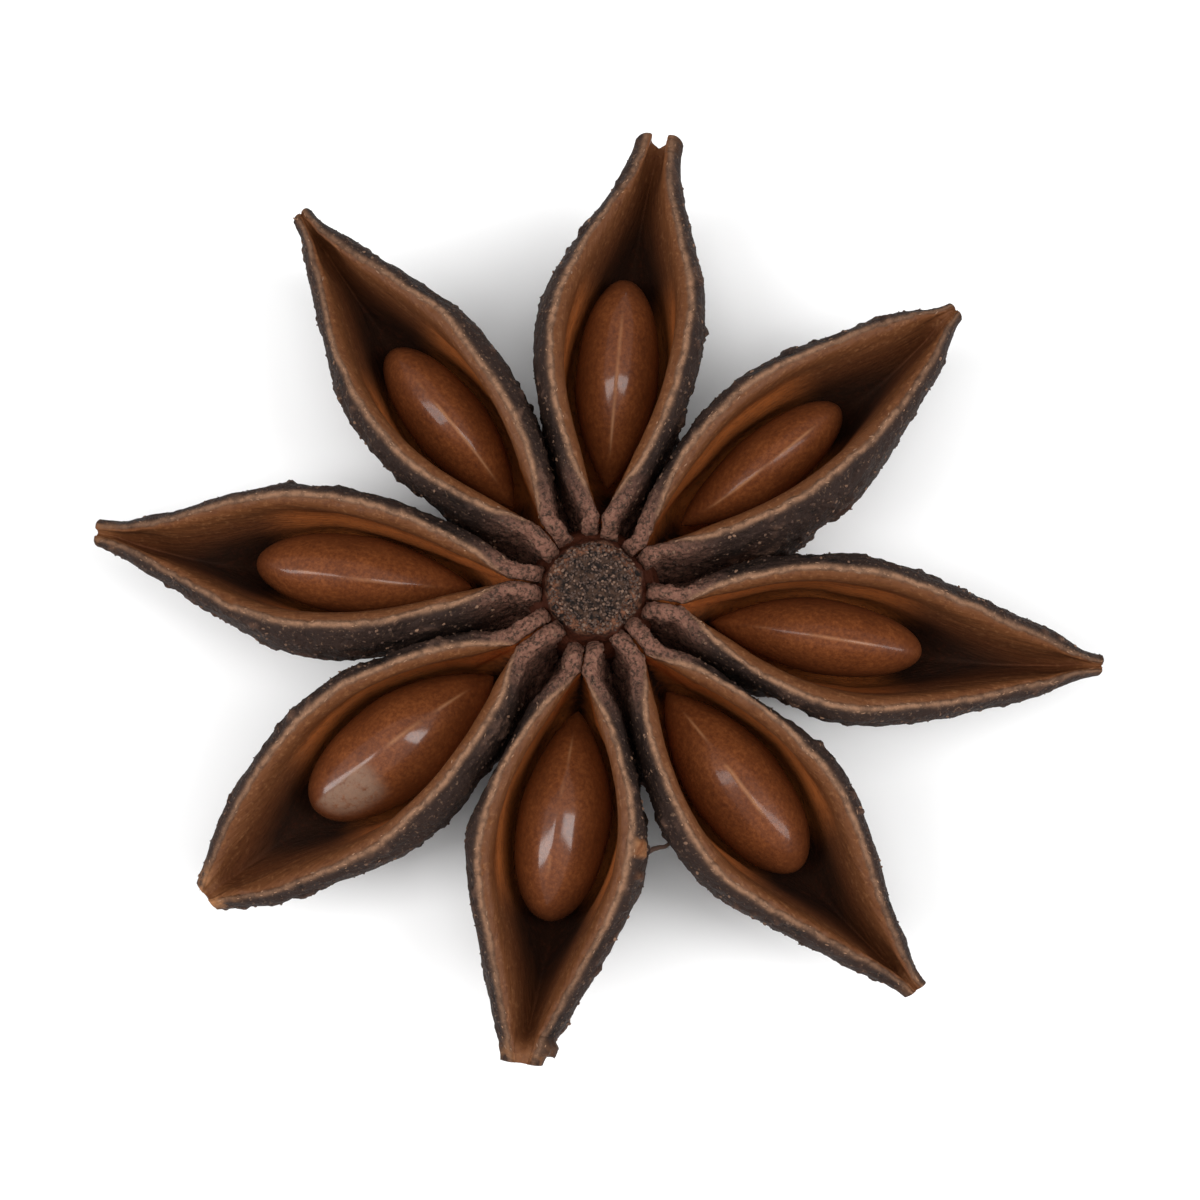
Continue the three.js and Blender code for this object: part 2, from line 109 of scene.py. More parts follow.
@dataclass(frozen=True)
class Noise:
    """A smooth seeded field over space, from about -1 to 1.

    Attributes:
        seed: Which field of the many.
    """

    seed: int

    # Large primes that scatter places and seeds, and numbers that stir the result after a shift.
    PRIMES = (73856093, 19349663, 83492791, 982451653)
    STIRS = ((13, 1274126177), (16, 2246822519))

    def _corner(self, cells: Array) -> Array:
        """A fixed random number from -1 to 1 for each whole-numbered place."""
        one, two, three, own = self.PRIMES
        mixed = cells[..., 0] * one ^ cells[..., 1] * two ^ cells[..., 2] * three ^ self.seed * own
        for shift, stir in self.STIRS:
            mixed = ((mixed ^ (mixed >> shift)) * stir) & 0xFFFFFFFF
        return ((mixed ^ (mixed >> 15)) & 0xFFFF) / 32767.5 - 1.0

    def at(self, places: Array) -> Array:
        """The field's value at each place.

        Args:
            places: Points, with three coordinates last; the field turns over about 1 unit.

        Returns:
            One value for each point.
        """
        cells = np.floor(places).astype(np.int64)
        inside = places - cells
        eased = inside * inside * inside * (inside * (inside * 6 - 15) + 10)
        total = np.zeros(places.shape[:-1])
        for corner in np.ndindex(2, 2, 2):
            weight = np.ones(places.shape[:-1])
            for axis in range(3):
                weight *= eased[..., axis] if corner[axis] else 1 - eased[..., axis]
            total += weight * self._corner(cells + np.array(corner))
        return total

    def _layered(self, places: Array, octaves: int, gain: float, steps: Triple, ridges: float = 0.0) -> Array:
        """The field with finer and weaker copies of itself added.

        Args:
            places: Points, with three coordinates last.
            octaves: How many layers.
            gain: Each layer's strength as a share of the one before.
            steps: How much the seed, the fineness and the place change from layer to layer.
            ridges: How narrow the ridges are, or 0 for none.

        Returns:
            One value for each point.
        """
        total, strength, reach = np.zeros(places.shape[:-1]), 1.0, 0.0
        reseed, finer, shift = steps
        for octave in range(octaves):
            layer = Noise(self.seed + reseed * octave).at(places * finer**octave + shift * octave)
            total += strength * (1 - ridges * np.abs(layer) if ridges else layer)
            reach += strength
            strength *= gain
        return total / reach

    def fractal(self, places: Array, octaves: int, gain: float) -> Array:
        """Clouds of several sizes, from about -1 to 1."""
        return self._layered(places, octaves, gain, (101, 2.03, 17.3))

    def ridged(self, places: Array) -> Array:
        """Narrow ridges with round valleys between, from about -1 to 1."""
        return self._layered(places, 3, 0.5, (211, 2.1, 5.7), ridges=2.6)


class Pattern(Enum):
    """The seeded patterns that shape and wear the pieces.

    Each one has its first seed, the seed's step from carpel to carpel, its turns a millimetre along, across
    and up, its layers, and each layer's strength as a share of the one before.
    """

    DISC_GRAINS = (5, 0, (4.6, 4.6, 4.6), 3, 0.65)
    DISC_LUMPS = (9, 0, (1.7, 1.7, 1.7), 3, 0.5)
    DISC_KNOBS = (19, 0, (2.6, 2.6, 2.6), 2, 0.5)
    DISC_EDGE = (31, 0, (2.2, 2.2, 2.2), 3, 0.6)
    LUMPS = (63, 7, (1.1, 1.9, 1.9), 3, 0.6)
    FINE = (77, 7, (3.0, 4.6, 4.6), 2, 0.6)
    INNER_GRAIN = (91, 7, (0.9, 5.0, 5.0), 2, 0.5)
    SCABS = (111, 7, (1.5, 2.1, 2.1), 3, 0.6)
    GRIT = (131, 7, (3.2, 3.2, 3.2), 4, 0.7)
    RIM_WAVES = (300, 13, (0.55, 1, 1), 3, 0.55)
    RIM_NICKS = (303, 13, (3.2, 1, 1), 3, 0.6)
    RIM_FRAYS = (309, 13, (4.4, 1, 1), 2, 0.6)
    TORN_WOOD = (611, 1, (2.6, 2.6, 2.6), 3, 0.6)
    INNER_EDGE = (810, 1, (1.4, 2.0, 2.0), 3, 0.5)
    SEED_DENTS = (900, 1, (0.5, 0.9, 0.9), 2, 0.5)
    SEAM_BREAKS = (940, 1, (0.9, 0, 0), 2, 0.5)

    def at(self, places: Array, number: int = 0) -> Array:
        """The pattern's value at each place on one carpel or its seed, from about -1 to 1."""
        seed, step, turns, octaves, gain = self.value
        return Noise(seed + step * number).fractal(places * turns, octaves, gain)


def colour(red: int, green: int, blue: int) -> Colour:
    """A display colour, 0 to 255 a channel, as the linear RGBA that sockets take."""
    shown = np.array([red, green, blue]) / 255.0
    linear = np.where(shown <= 0.04045, shown / 12.92, ((shown + 0.055) / 1.055) ** 2.4)
    return (*(float(channel) for channel in linear), 1.0)


def turned(x: Array, y: Array, degrees: float) -> tuple[Array, Array]:
    """Coordinates turned from x towards y."""
    cos, sin = math.cos(math.radians(degrees)), math.sin(math.radians(degrees))
    return x * cos - y * sin, x * sin + y * cos


# ---------------------------------------------------------------- meshes


def placed_object(name: str, data: bpy.types.ID) -> Piece:
    """An object at the origin, linked to the scene."""
    made = bpy.data.objects.new(name, data)
    bpy.context.scene.collection.objects.link(made)
    return made


def mesh_object(name: str, points: Array, faces: list[tuple[int, ...]], finish: Material) -> Piece:
    """A smooth-shaded mesh object at the origin.

    Args:
        name: The piece's name.
        points: Vertices in millimetres, with the coordinates last.
        faces: Corner indices of each face.
        finish: Its material.

    Returns:
        The object, linked to the scene.
    """
    mesh = bpy.data.meshes.new(name)
    mesh.from_pydata((points.reshape(-1, 3) * MM).tolist(), [], faces)
    mesh.shade_smooth()
    mesh.materials.append(finish)
    return placed_object(name, mesh)


def set_attributes(made: Piece, numbers: dict[str, Array]) -> None:
    """Writes numbers and vectors on a piece's vertices.

    Args:
        made: The mesh object.
        numbers: One number or one vector for each vertex, under each name that the finishes read.
    """
    for name, values in numbers.items():
        vectors = values.size == 3 * len(made.data.vertices)
        kind, key = ("FLOAT_VECTOR", "vector") if vectors else ("FLOAT", "value")
        written = made.data.attributes.new(name, kind, "POINT")
        written.data.foreach_set(key, values.astype(np.float32).ravel())


def grid_faces(rings: int, sides: int) -> list[tuple[int, ...]]:
    """Quads between rings of a tube, with the ring running counter-clockwise seen from its end."""
    ring = np.arange(rings - 1)[:, None] * sides
    side = np.arange(sides)[None, :]
    ahead = (side + 1) % sides
    quads = np.stack([ring + side, ring + ahead, ring + sides + ahead, ring + sides + side], -1)
    return quads.reshape(-1, 4).tolist()


def normals_of(grid: Array) -> Array:
    """Unit normals of a tube given as a grid of rings, pointing outwards."""
    along = np.gradient(grid, axis=0)
    round_ = np.roll(grid, -1, axis=1) - np.roll(grid, 1, axis=1)
    normal = np.cross(round_, along)
    length = np.linalg.norm(normal, axis=-1, keepdims=True)
    return normal / np.maximum(length, 1e-9)


def through(controls: Array, counts: list[int]) -> Array:
    """Closed smooth curves through control points, one curve for each row.

    Args:
        controls: Control points, shape (rows, points, 2).
        counts: How many samples each stretch from one control point to the next gets.

    Returns:
        Samples, shape (rows, sum of counts, 2).
    """
    ahead = np.roll(controls, -1, axis=1)
    chord = np.maximum(np.linalg.norm(ahead - controls, axis=-1, keepdims=True), 1e-6)
    before = np.roll(chord, 1, axis=1)
    slope = (ahead - controls) / chord
    tangent = (slope * before + np.roll(slope, 1, axis=1) * chord) / (chord + before)
    pieces = []
    for index, count in enumerate(counts):
        t = (np.arange(count) / count)[None, :, None]
        following = (index + 1) % len(counts)
        start, end = controls[:, index, None], controls[:, following, None]
        leave = tangent[:, index, None] * chord[:, index, None]
        arrive = tangent[:, following, None] * chord[:, index, None]
        pieces.append(
            (2 * t**3 - 3 * t**2 + 1) * start
            + (t**3 - 2 * t**2 + t) * leave
            + (3 * t**2 - 2 * t**3) * end
            + (t**3 - t**2) * arrive
        )
    return np.concatenate(pieces, axis=1)


def zipped(first: Array, second: Array) -> list[tuple[int, ...]]:
    """Triangles that close the strip between two runs of vertices.

    Args:
        first: Vertex indices along one edge.
        second: Vertex indices along the other, starting beside the first's start.

    Returns:
        Triangles that run first-forwards, so the strip faces the same way as (first, next, second).
    """
    first, second = first.tolist(), second.tolist()
    made, i, j = [], 0, 0
    while i < len(first) - 1 or j < len(second) - 1:
        at_end = j == len(second) - 1
        behind = i * (len(second) - 1) <= j * (len(first) - 1)
        if i < len(first) - 1 and (at_end or behind):
            made.append((first[i], first[i + 1], second[j]))
            i += 1
        else:
            made.append((first[i], second[j + 1], second[j]))
            j += 1
    return [face for face in made if len(set(face)) == 3]


# ---------------------------------------------------------------- node trees


class NodeTree:
    """A node tree under construction."""

    def __init__(self, tree: bpy.types.NodeTree) -> None:
        """Takes the tree that the nodes go into."""
        self.tree = tree

    def feed(self, socket: Socket, value: object) -> None:
        """Links a socket to the value, or sets it where the value is a constant."""
        if isinstance(value, Socket):
            self.tree.links.new(value, socket)
        else:
            socket.default_value = value

    def add(self, kind: str, values: Values | None = None, **settings: object) -> bpy.types.Node:
        """Adds a node.

        Args:
            kind: The node's type.
            values: What its inputs take, constants or sockets, by name or number.
            settings: The node's own properties.

        Returns:
            The node.
        """
        node = self.tree.nodes.new(kind)
        for name, value in settings.items():
            setattr(node, name, value)
        for key, value in (values or {}).items():
            self.feed(node.inputs[key], value)
        return node

    def math(self, operation: str, *terms: object) -> Socket:
        """One sum of numbers or sockets."""
        return self.add("ShaderNodeMath", dict(enumerate(terms)), operation=operation).outputs[0]

    def plus(self, first: object, second: object) -> Socket:
        """A sum."""
        return self.math("ADD", first, second)

    def minus(self, first: object, second: object) -> Socket:
        """A difference."""
        return self.math("SUBTRACT", first, second)

    def times(self, first: object, second: object) -> Socket:
        """A product."""
        return self.math("MULTIPLY", first, second)

    def scaled(self, value: object, factor: object, offset: object) -> Socket:
        """A value times a factor, plus an offset."""
        return self.math("MULTIPLY_ADD", value, factor, offset)


class ShaderTree(NodeTree):
    """A material under construction, with short names for the nodes that the finishes use."""

    def __init__(self, name: str) -> None:
        """Starts a material that holds only its shader and output."""
        self.material = bpy.data.materials.new(name)
        self.material.use_nodes = True
        super().__init__(self.material.node_tree)
        self.tree.nodes.clear()
        self.shader = self.add("ShaderNodeBsdfPrincipled")
        self.add("ShaderNodeOutputMaterial", {"Surface": self.shader.outputs["BSDF"]})

    def surface(self, **values: object) -> Material:
        """Feeds the shader's sockets, named with underscores for spaces, and gives the finished material."""
        for name, value in values.items():
            self.feed(self.shader.inputs[name.replace("_", " ")], value)
        return self.material

    def attribute(self, name: str) -> Socket:
        """A number stored on the mesh."""
        return self.add("ShaderNodeAttribute", attribute_name=name).outputs["Fac"]

    def grain(self) -> Socket:
        """The piece's own place in millimetres, stored on the mesh as a vector."""
        return self.add("ShaderNodeAttribute", attribute_name="lengthwise").outputs["Vector"]

    def stretched(self, vector: Socket, scale: Triple) -> Socket:
        """A vector scaled by a different amount along each axis."""
        return self.add("ShaderNodeMapping", {"Vector": vector, "Scale": scale}).outputs["Vector"]

    def noise(
        self, vector: Socket, scale: float, detail: float = 3.0, rough: float = 0.55, bent: float = 0.0
    ) -> Socket:
        """Cloudy noise from 0 to 1, with the scale in turns a unit of the vector."""
        shape = {"Scale": scale, "Detail": detail, "Roughness": rough, "Distortion": bent}
        return self.add("ShaderNodeTexNoise", {"Vector": vector, **shape}).outputs["Fac"]

    def cells(self, vector: Socket, scale: float) -> Socket:
        """Distance to the nearest of many scattered points."""
        return self.add("ShaderNodeTexVoronoi", {"Vector": vector, "Scale": scale}).outputs["Distance"]

    def span(self, value: object, low: float, high: float) -> Socket:
        """0 at low and 1 at high, smooth and held outside them."""
        limits = {"Value": value, "From Min": low, "From Max": high}
        return self.add("ShaderNodeMapRange", limits, interpolation_type="SMOOTHSTEP").outputs["Result"]

    def blend(self, share: object, first: object, second: object) -> Socket:
        """A mix of two colours or heights."""
        mixed = {0: share, 6: first, 7: second}
        return self.add("ShaderNodeMix", mixed, data_type="RGBA", clamp_factor=True).outputs[2]

    def ramp(self, value: object, *stops: tuple[float, Colour]) -> Socket:
        """Colours along a scale from 0 to 1."""
        node = self.add("ShaderNodeValToRGB", {"Fac": value})
        elements = node.color_ramp.elements
        while len(elements) < len(stops):
            elements.new(1.0)
        for element, (position, shade) in zip(elements, stops):
            element.position, element.color = position, shade
        return node.outputs["Color"]

    def bump(self, height: object, depth: float) -> Socket:
        """A normal from a height of 0 to 1, with the depth in millimetres."""
        values = {"Strength": 1.0, "Distance": depth * MM, "Height": height}
        return self.add("ShaderNodeBump", values).outputs["Normal"]


class FormTree(NodeTree):
    """A Geometry Nodes tree under construction, with named inputs."""

    def __init__(self, name: str) -> None:
        """Starts a tree whose first input and output are the geometry."""
        super().__init__(bpy.data.node_groups.new(name, "GeometryNodeTree"))
        self.sockets: dict[str, str] = {}
        for side in ("INPUT", "OUTPUT"):
            self.tree.interface.new_socket(name="Geometry", in_out=side, socket_type="NodeSocketGeometry")
        self.inputs, self.output = self.add("NodeGroupInput"), self.add("NodeGroupOutput")

    def add(self, kind: str, values: Values | None = None, **settings: object) -> bpy.types.Node:
        """Adds a node, whose type may leave out the prefix GeometryNode."""
        full = kind if kind.startswith(("Shader", "Function", "NodeGroup")) else f"GeometryNode{kind}"
        return super().add(full, values, **settings)

    def input(self, name: str, kind: str = "Float") -> Socket:
        """Adds a named input and gives the socket to read it from."""
        made = self.tree.interface.new_socket(name=name, in_out="INPUT", socket_type=f"NodeSocket{kind}")
        self.sockets[name] = made.identifier
        return self.inputs.outputs[name]

    def stored(self, name: str, kind: str = "FLOAT") -> Socket:
        """A number or a vector that is stored on the geometry."""
        return self.add("InputNamedAttribute", {"Name": name}, data_type=kind).outputs["Attribute"]

    def store(self, geometry: Socket, name: str, value: object) -> Socket:
        """Stores a number on each instance."""
        values = {"Geometry": geometry, "Name": name, "Value": value}
        return self.add("StoreNamedAttribute", values, data_type="FLOAT", domain="INSTANCE").outputs[0]

    def finish(self, geometry: Socket) -> None:
        """Ends the tree in plain geometry with the finish from the Material input."""
        real = self.add("RealizeInstances", {"Geometry": geometry}).outputs["Geometry"]
        dressed = self.add("SetMaterial", {"Geometry": real, "Material": self.input("Material", "Material")})
        self.feed(self.output.inputs["Geometry"], dressed.outputs["Geometry"])

    def grow(self, name: str, base: bpy.types.Mesh, values: dict[str, object]) -> Piece:
        """Runs the tree on a mesh and keeps the result as a plain mesh object.

        Args:
            name: The new piece's name.
            base: The mesh that the tree starts from.
            values: The named inputs.

        Returns:
            The object, with no modifier left.
        """
        made = placed_object(name, base)
        modifier = made.modifiers.new("form", "NODES")
        modifier.node_group = self.tree
        for key, value in values.items():
            modifier[self.sockets[key]] = value
        graph = bpy.context.evaluated_depsgraph_get()
        result = bpy.data.meshes.new_from_object(made.evaluated_get(graph))
        made.modifiers.clear()
        made.data = result
        result.name = name
        return made


# ---------------------------------------------------------------- finishes


@dataclass(frozen=True)
class WoodFinish:
    """The dried wall of a carpel: a rough dark skin outside, smooth tan wood inside.

    It reads these numbers from the mesh: inner, rim, sunk, beak, keel, lip, tip, relief, torn, disc, ring
    and crack, and the vector lengthwise, which is the piece's own place in millimetres.

    Attributes:
        crevice: The skin in its folds, near black there as painted shade, and the dark between the column
            top's grains.
        skin: The skin itself.
        crest: The skin on its ridges.
        rust: Worn reddish patches.
        dust: Pale specks all over the skin.
        lip: The thick lips beside the column.
        edge: The thin torn edge along the opening.
        wood: The inner wall near the opening.
        shade: The inner wall below that.
        deep: The inner wall beside the seed, lighter than the wall above it as painted light against the
            shadow there.
        cleft: The inner wall in the beak, darker as painted shade.
        pit: The chamber's floor, near black as painted shade.
        ochre: Torn wood.
        crack: The clefts round the column's top.
        core: The middle of the column's top.
        ring: The ragged ring round it.
        rusted: How strongly the rust shows, from 0 to 1, as the five after it.
        lipped: How strongly the lips' colour shows.
        dusted: How strongly the specks show.
        fibrous: How strongly pale fibres show on the inner wall.
        stained: How strongly dark spots show there.
        cleaved: How dark the lips are inside.
        bump: How deep the fine relief is, in millimetres.
        specular: How strongly it mirrors.
    """

    crevice: Colour = colour(16, 11, 9)
    skin: Colour = colour(42, 29, 24)
    crest: Colour = colour(78, 56, 45)
    rust: Colour = colour(84, 47, 30)
    dust: Colour = colour(138, 108, 86)
    lip: Colour = colour(122, 84, 70)
    edge: Colour = colour(140, 104, 80)
    wood: Colour = colour(92, 54, 29)
    shade: Colour = colour(98, 52, 22)
    deep: Colour = colour(164, 92, 44)
    cleft: Colour = colour(80, 43, 21)
    pit: Colour = colour(34, 17, 8)
    ochre: Colour = colour(144, 99, 65)
    crack: Colour = colour(58, 25, 12)
    core: Colour = colour(64, 46, 36)
    ring: Colour = colour(102, 66, 48)
    rusted: float = 0.75
    lipped: float = 0.85
    dusted: float = 0.45
    fibrous: float = 0.3
    stained: float = 0.35
    cleaved: float = 0.7
    bump: float = 0.12
    specular: float = 0.16

    def outer(self, tree: ShaderTree, grain: Socket) -> Socket:
        """The colour of the skin, near black in its folds as painted shade."""
        raised = tree.times(tree.attribute("relief"), 0.55)
        mottled = tree.scaled(tree.noise(grain, 2.4, 5.0, 0.66), 0.55, raised)
        # Painted shade: the colour follows the wrinkles' height, near black in the folds and lighter on the
        # ridges.
        folds = (0.24, self.crevice), (0.45, self.skin), (0.62, self.skin), (0.86, self.crest)
        base = tree.ramp(tree.minus(mottled, 0.05), *folds)
        worn = tree.span(tree.noise(grain, 0.42, 3.0, 0.6, 0.4), 0.5, 0.66)
        low = tree.times(worn, tree.span(tree.attribute("keel"), 0.1, 0.7))
        rusty = tree.blend(tree.times(low, self.rusted), base, self.rust)
        flecks = (0.34, self.skin), (0.44, self.crest), (0.52, self.lip), (0.6, self.lip), (0.7, self.dust)
        lips = tree.ramp(tree.noise(grain, 6.0, 4.0, 0.75), *flecks)
        lipped = tree.blend(tree.times(tree.attribute("lip"), self.lipped), rusty, lips)
        specks = tree.span(tree.noise(grain, 7.5, 2.0, 0.7), 0.58, 0.74)
        dusty = tree.blend(tree.times(specks, self.dusted), lipped, self.dust)
        splinters = tree.noise(tree.stretched(grain, (0.6, 2.0, 2.0)), 2.2, 4.0, 0.7)
        bare = tree.blend(tree.span(splinters, 0.3, 0.7), self.shade, self.ochre)
        return tree.blend(tree.attribute("torn"), dusty, bare)

    def inner(self, tree: ShaderTree, grain: Socket) -> Socket:
        """The colour of the inner wall, with painted shade that darkens it with depth and painted light
        beside the seed.
        """
        streaks = tree.noise(tree.stretched(grain, (0.5, 2.0, 2.0)), 1.6, 4.0, 0.62)
        sunk = tree.scaled(streaks, 0.2, tree.minus(tree.attribute("sunk"), 0.1))
        # Painted light and shade by depth: lighter beside the seed, then near black at the chamber's floor;
        # in the beak it darkens through the cleft colour.
        lit = (0.14, self.shade), (0.27, self.deep), (0.72, self.deep), (0.95, self.pit)
        beside = tree.ramp(sunk, (0.0, self.wood), (0.05, self.wood), *lit)
        beyond = tree.ramp(sunk, (0.0, self.wood), (0.12, self.wood), (0.5, self.cleft), (0.95, self.pit))
        wall = tree.blend(tree.attribute("beak"), beside, beyond)
        shallow = tree.minus(1.0, tree.span(sunk, 0.15, 0.8))
        pale = tree.times(tree.span(tree.noise(grain, 5.5, 3.0, 0.7), 0.52, 0.68), shallow)
        fibres = tree.blend(tree.times(pale, self.fibrous), wall, self.ochre)
        dark = tree.span(tree.noise(grain, 4.2, 3.0, 0.7), 0.5, 0.66)
        spotted = tree.blend(tree.times(dark, self.stained), fibres, self.crack)
        return tree.blend(tree.times(tree.attribute("lip"), self.cleaved), spotted, self.crack)

    def edged(self, tree: ShaderTree, grain: Socket, wall: Socket) -> Socket:
        """The wall's colour with its torn edge and tip and the column's top over it."""
        ragged = tree.scaled(tree.span(tree.noise(grain, 3.2, 3.0, 0.65), 0.32, 0.6), 0.5, 0.45)
        rimmed = tree.blend(tree.times(tree.attribute("rim"), ragged), wall, self.edge)
        torn = tree.span(tree.noise(grain, 2.2, 3.0), 0.35, 0.6)
        tipped = tree.blend(tree.times(tree.attribute("tip"), torn), rimmed, self.ochre)
        grains = tree.span(tree.noise(grain, 5.0, 3.0, 0.7), 0.36, 0.66)
        ringed = tree.blend(tree.attribute("ring"), tipped, tree.blend(grains, self.crevice, self.ring))
        cored = tree.blend(tree.attribute("disc"), ringed, tree.blend(grains, self.crevice, self.core))
        return tree.blend(tree.attribute("crack"), cored, self.crack)

    def material(self, name: str) -> Material:
        """Builds the finish under a name."""
        tree = ShaderTree(name)
        grain, inside = tree.grain(), tree.attribute("inner")
        wall = tree.blend(inside, self.outer(tree, grain), self.inner(tree, grain))
        clumps = tree.minus(1.0, tree.cells(grain, 6.5))
        skin = tree.scaled(clumps, 0.35, tree.times(tree.noise(grain, 5.0, 4.0, 0.7), 0.65))
        threads = tree.noise(tree.stretched(grain, (0.35, 3.0, 3.0)), 2.4, 3.0, 0.55)
        dull = tree.scaled(skin, 0.3, 0.6)
        satin = tree.scaled(threads, 0.25, tree.scaled(tree.attribute("sunk"), 0.35, 0.4))
        return tree.surface(
            Base_Color=self.edged(tree, grain, wall),
            Roughness=tree.plus(tree.times(dull, tree.minus(1.0, inside)), tree.times(satin, inside)),
            Normal=tree.bump(tree.blend(inside, skin, tree.times(threads, 0.35)), self.bump),
            Specular_IOR_Level=self.specular,
        )


@dataclass(frozen=True)
class LitterFinish:
    """Loose crumbs and torn fibres on the skin, each with a shade of its own.

    It reads the numbers shade, from 0 to 1, and pale, which is 1 on torn edges.

    Attributes:
        dark: The darkest crumbs.
        brown: Most of them.
        dust: The palest.
        fibre: Torn fibres along the edges.
        roughness: How matt it is.
    """

    dark: Colour = colour(30, 23, 22)
    brown: Colour = colour(66, 46, 36)
    dust: Colour = colour(120, 90, 70)
    fibre: Colour = colour(158, 120, 92)
    roughness: float = 0.85

    def material(self, name: str) -> Material:
        """Builds the finish under a name."""
        tree = ShaderTree(name)
        shade = tree.attribute("shade")
        crumbs = tree.ramp(shade, (0.0, self.dark), (0.4, self.brown), (0.75, self.brown), (1.0, self.dust))
        fibres = tree.blend(tree.times(shade, 0.6), self.fibre, self.brown)
        mixed = tree.blend(tree.attribute("pale"), crumbs, fibres)
        return tree.surface(Base_Color=mixed, Roughness=self.roughness)


@dataclass(frozen=True)
class SeedFinish:
    """A glossy chestnut seed with a pale seam along its top.

    It reads the numbers seam, flank, worn and gloss and the vector lengthwise from the mesh.

    Attributes:
        body: The seed coat.
        dark: The coat's darker grains, and the painted shade on its flanks, underside and outer end.
        light: Its paler streaks.
        seam: The raised line.
        dusty: A dull worn patch.
        speckled: How strongly the specks show, from 0 to 1.
        dusted: How strongly the worn patch shows, from 0 to 1.
        bump: How deep the pores are, in millimetres.
        specular: How strongly the coat mirrors.
        glaze: How strongly the clear layer on it mirrors.
        glaze_roughness: How soft that layer's mirror image is.
    """

    body: Colour = colour(98, 51, 24)
    dark: Colour = colour(78, 38, 18)
    light: Colour = colour(120, 67, 34)
    seam: Colour = colour(158, 110, 74)
    dusty: Colour = colour(124, 100, 84)
    speckled: float = 0.25
    dusted: float = 0.75
    bump: float = 0.018
    specular: float = 0.18
    glaze: float = 0.75
    glaze_roughness: float = 0.15

    def material(self, name: str) -> Material:
        """Builds the finish under a name."""
        tree = ShaderTree(name)
        grain = tree.grain()
        clouds, grains = tree.noise(grain, 0.9, 2.0, 0.5), tree.noise(grain, 6.5, 3.0, 0.7)
        mixed = tree.scaled(grains, 0.7, tree.times(clouds, 0.3))
        coat = tree.ramp(mixed, (0.32, self.dark), (0.5, self.body), (0.68, self.light))
        # Painted shade: the coat darkens on the flanks, on the underside and at the outer end.
        shaded = tree.blend(tree.attribute("flank_shade"), coat, self.dark)
        specks = tree.blend(tree.span(tree.noise(grain, 7.0, 2.0), 0.6, 0.75), shaded, self.light)
        fine = tree.blend(self.speckled, shaded, specks)
        worn = tree.times(tree.attribute("worn"), tree.span(tree.noise(grain, 3.5, 4.0, 0.7), 0.2, 0.55))
        patched = tree.blend(tree.times(worn, self.dusted), fine, self.dusty)
        pores = tree.noise(grain, 6.0, 3.0, 0.6)
        return tree.surface(
            Base_Color=tree.blend(tree.attribute("seam"), patched, self.seam),
            Roughness=tree.scaled(worn, 0.2, tree.scaled(pores, 0.14, 0.42)),
            Normal=tree.bump(pores, self.bump),
            Specular_IOR_Level=self.specular,
            Coat_Weight=tree.times(tree.attribute("gloss"), tree.scaled(worn, -0.55, self.glaze)),
            Coat_Roughness=self.glaze_roughness,
        )


@dataclass(frozen=True)
class PlainFinish:
    """A flat matt finish for what isn't part of the pod.

    Attributes:
        shade: Its colour.
        roughness: How matt it is.
    """

    shade: Colour
    roughness: float = 0.9

    def material(self, name: str) -> Material:
        """Builds the finish under a name."""
        return ShaderTree(name).surface(Base_Color=self.shade, Roughness=self.roughness)


# ---------------------------------------------------------------- the carpels


class Side(Enum):
    """The two walls of a carpel, seen from the column outwards."""

    LEFT = 1
    RIGHT = -1

    def pick(self, both: tuple[float, float]) -> float:
        """This wall's own number of a left and a right one."""
        return both[0 if self is Side.LEFT else 1]


@dataclass(frozen=True)
class PodForm:
    """Sizes that all carpels share, in millimetres unless they are shares, powers or slopes."""

    # The open face and the carpel's own ends.
    face: float = 8.0
    root: float = 1.05
    stations: int = 240

    # The rims' thickness and the lips beside the column.
    crest: float = 0.1
    crease: float = 0.14
    crease_depth: float = 0.7
    band: float = 0.58
    band_tip: float = 0.8
    lip_band: float = 0.44
    lip_end: float = 4.6
    rise_power: float = 0.9
    knuckle_end: float = 1.62
    knuckle_start: float = 2.5
    knuckle_drop: float = 1.25
    knuckle_spread: float = 0.3

    # The rims' height from the column to the beak.
    rim_arch: float = 0.25
    arch_place: float = 0.35
    droop_start: float = 0.4
    droop_power: float = 1.7
    neck: float = 0.6

    # The outer wall and the keel.
    shoulder_drop: float = 0.6
    flank_slope: float = math.tan(math.radians(7))
    swell_start: float = 3.5
    swell_end: float = 13.5
    keel_share: float = 0.45
    keel_power: float = 1.12
    keel_root: float = 0.9
    keel_foot: float = 5.0
    scar_ring: float = 1.6
    keel_lift: float = 0.48
    keel_curve: float = 1.9
    belly: float = 0.12

    # The seed's chamber and its seed.
    floor: float = 1.9
    floor_start: float = 4.8
    floor_end: float = 9.2
    floor_fall: float = 0.6
    floor_rise: float = 0.9
    throat_share: float = 0.46
    throat_width: float = 0.72
    throat_room: float = 0.32
    throat_limit: float = 0.97
    throat_lean: float = 0.7
    throat_tip: float = 0.42
    chamber_low: float = 0.8
    wall_flare: float = 0.4
    wall_swell: float = 0.06
    shift_length: float = 2.5
    seed_level: float = 4.6
    seed_inner: tuple[float, float] = (1.6, 0.8)
    seed_outer: tuple[float, float] = (2.2, 0.5)

    # The beak, its cleft and its pressed end.
    beak_depth: float = 0.8
    slot_depth: float = 0.4
    cleft_start: float = 0.3
    cleft_length: float = 3.0
    cleft_low: float = 0.35
    pinch_start: float = 0.88
    shut_length: float = 1.5
    shut_depth: float = 0.16
    twist_start: float = 3.0
    twist_end: float = 7.0
    bend_start: float = 0.45
    bend_power: float = 1.6

    # How neighbours join beside the column.
    groove: float = 0.88
    groove_start: float = 2.0
    groove_end: float = 3.0
    fused: float = 1.03
    fused_end: float = 4.5
    free: float = 8.0


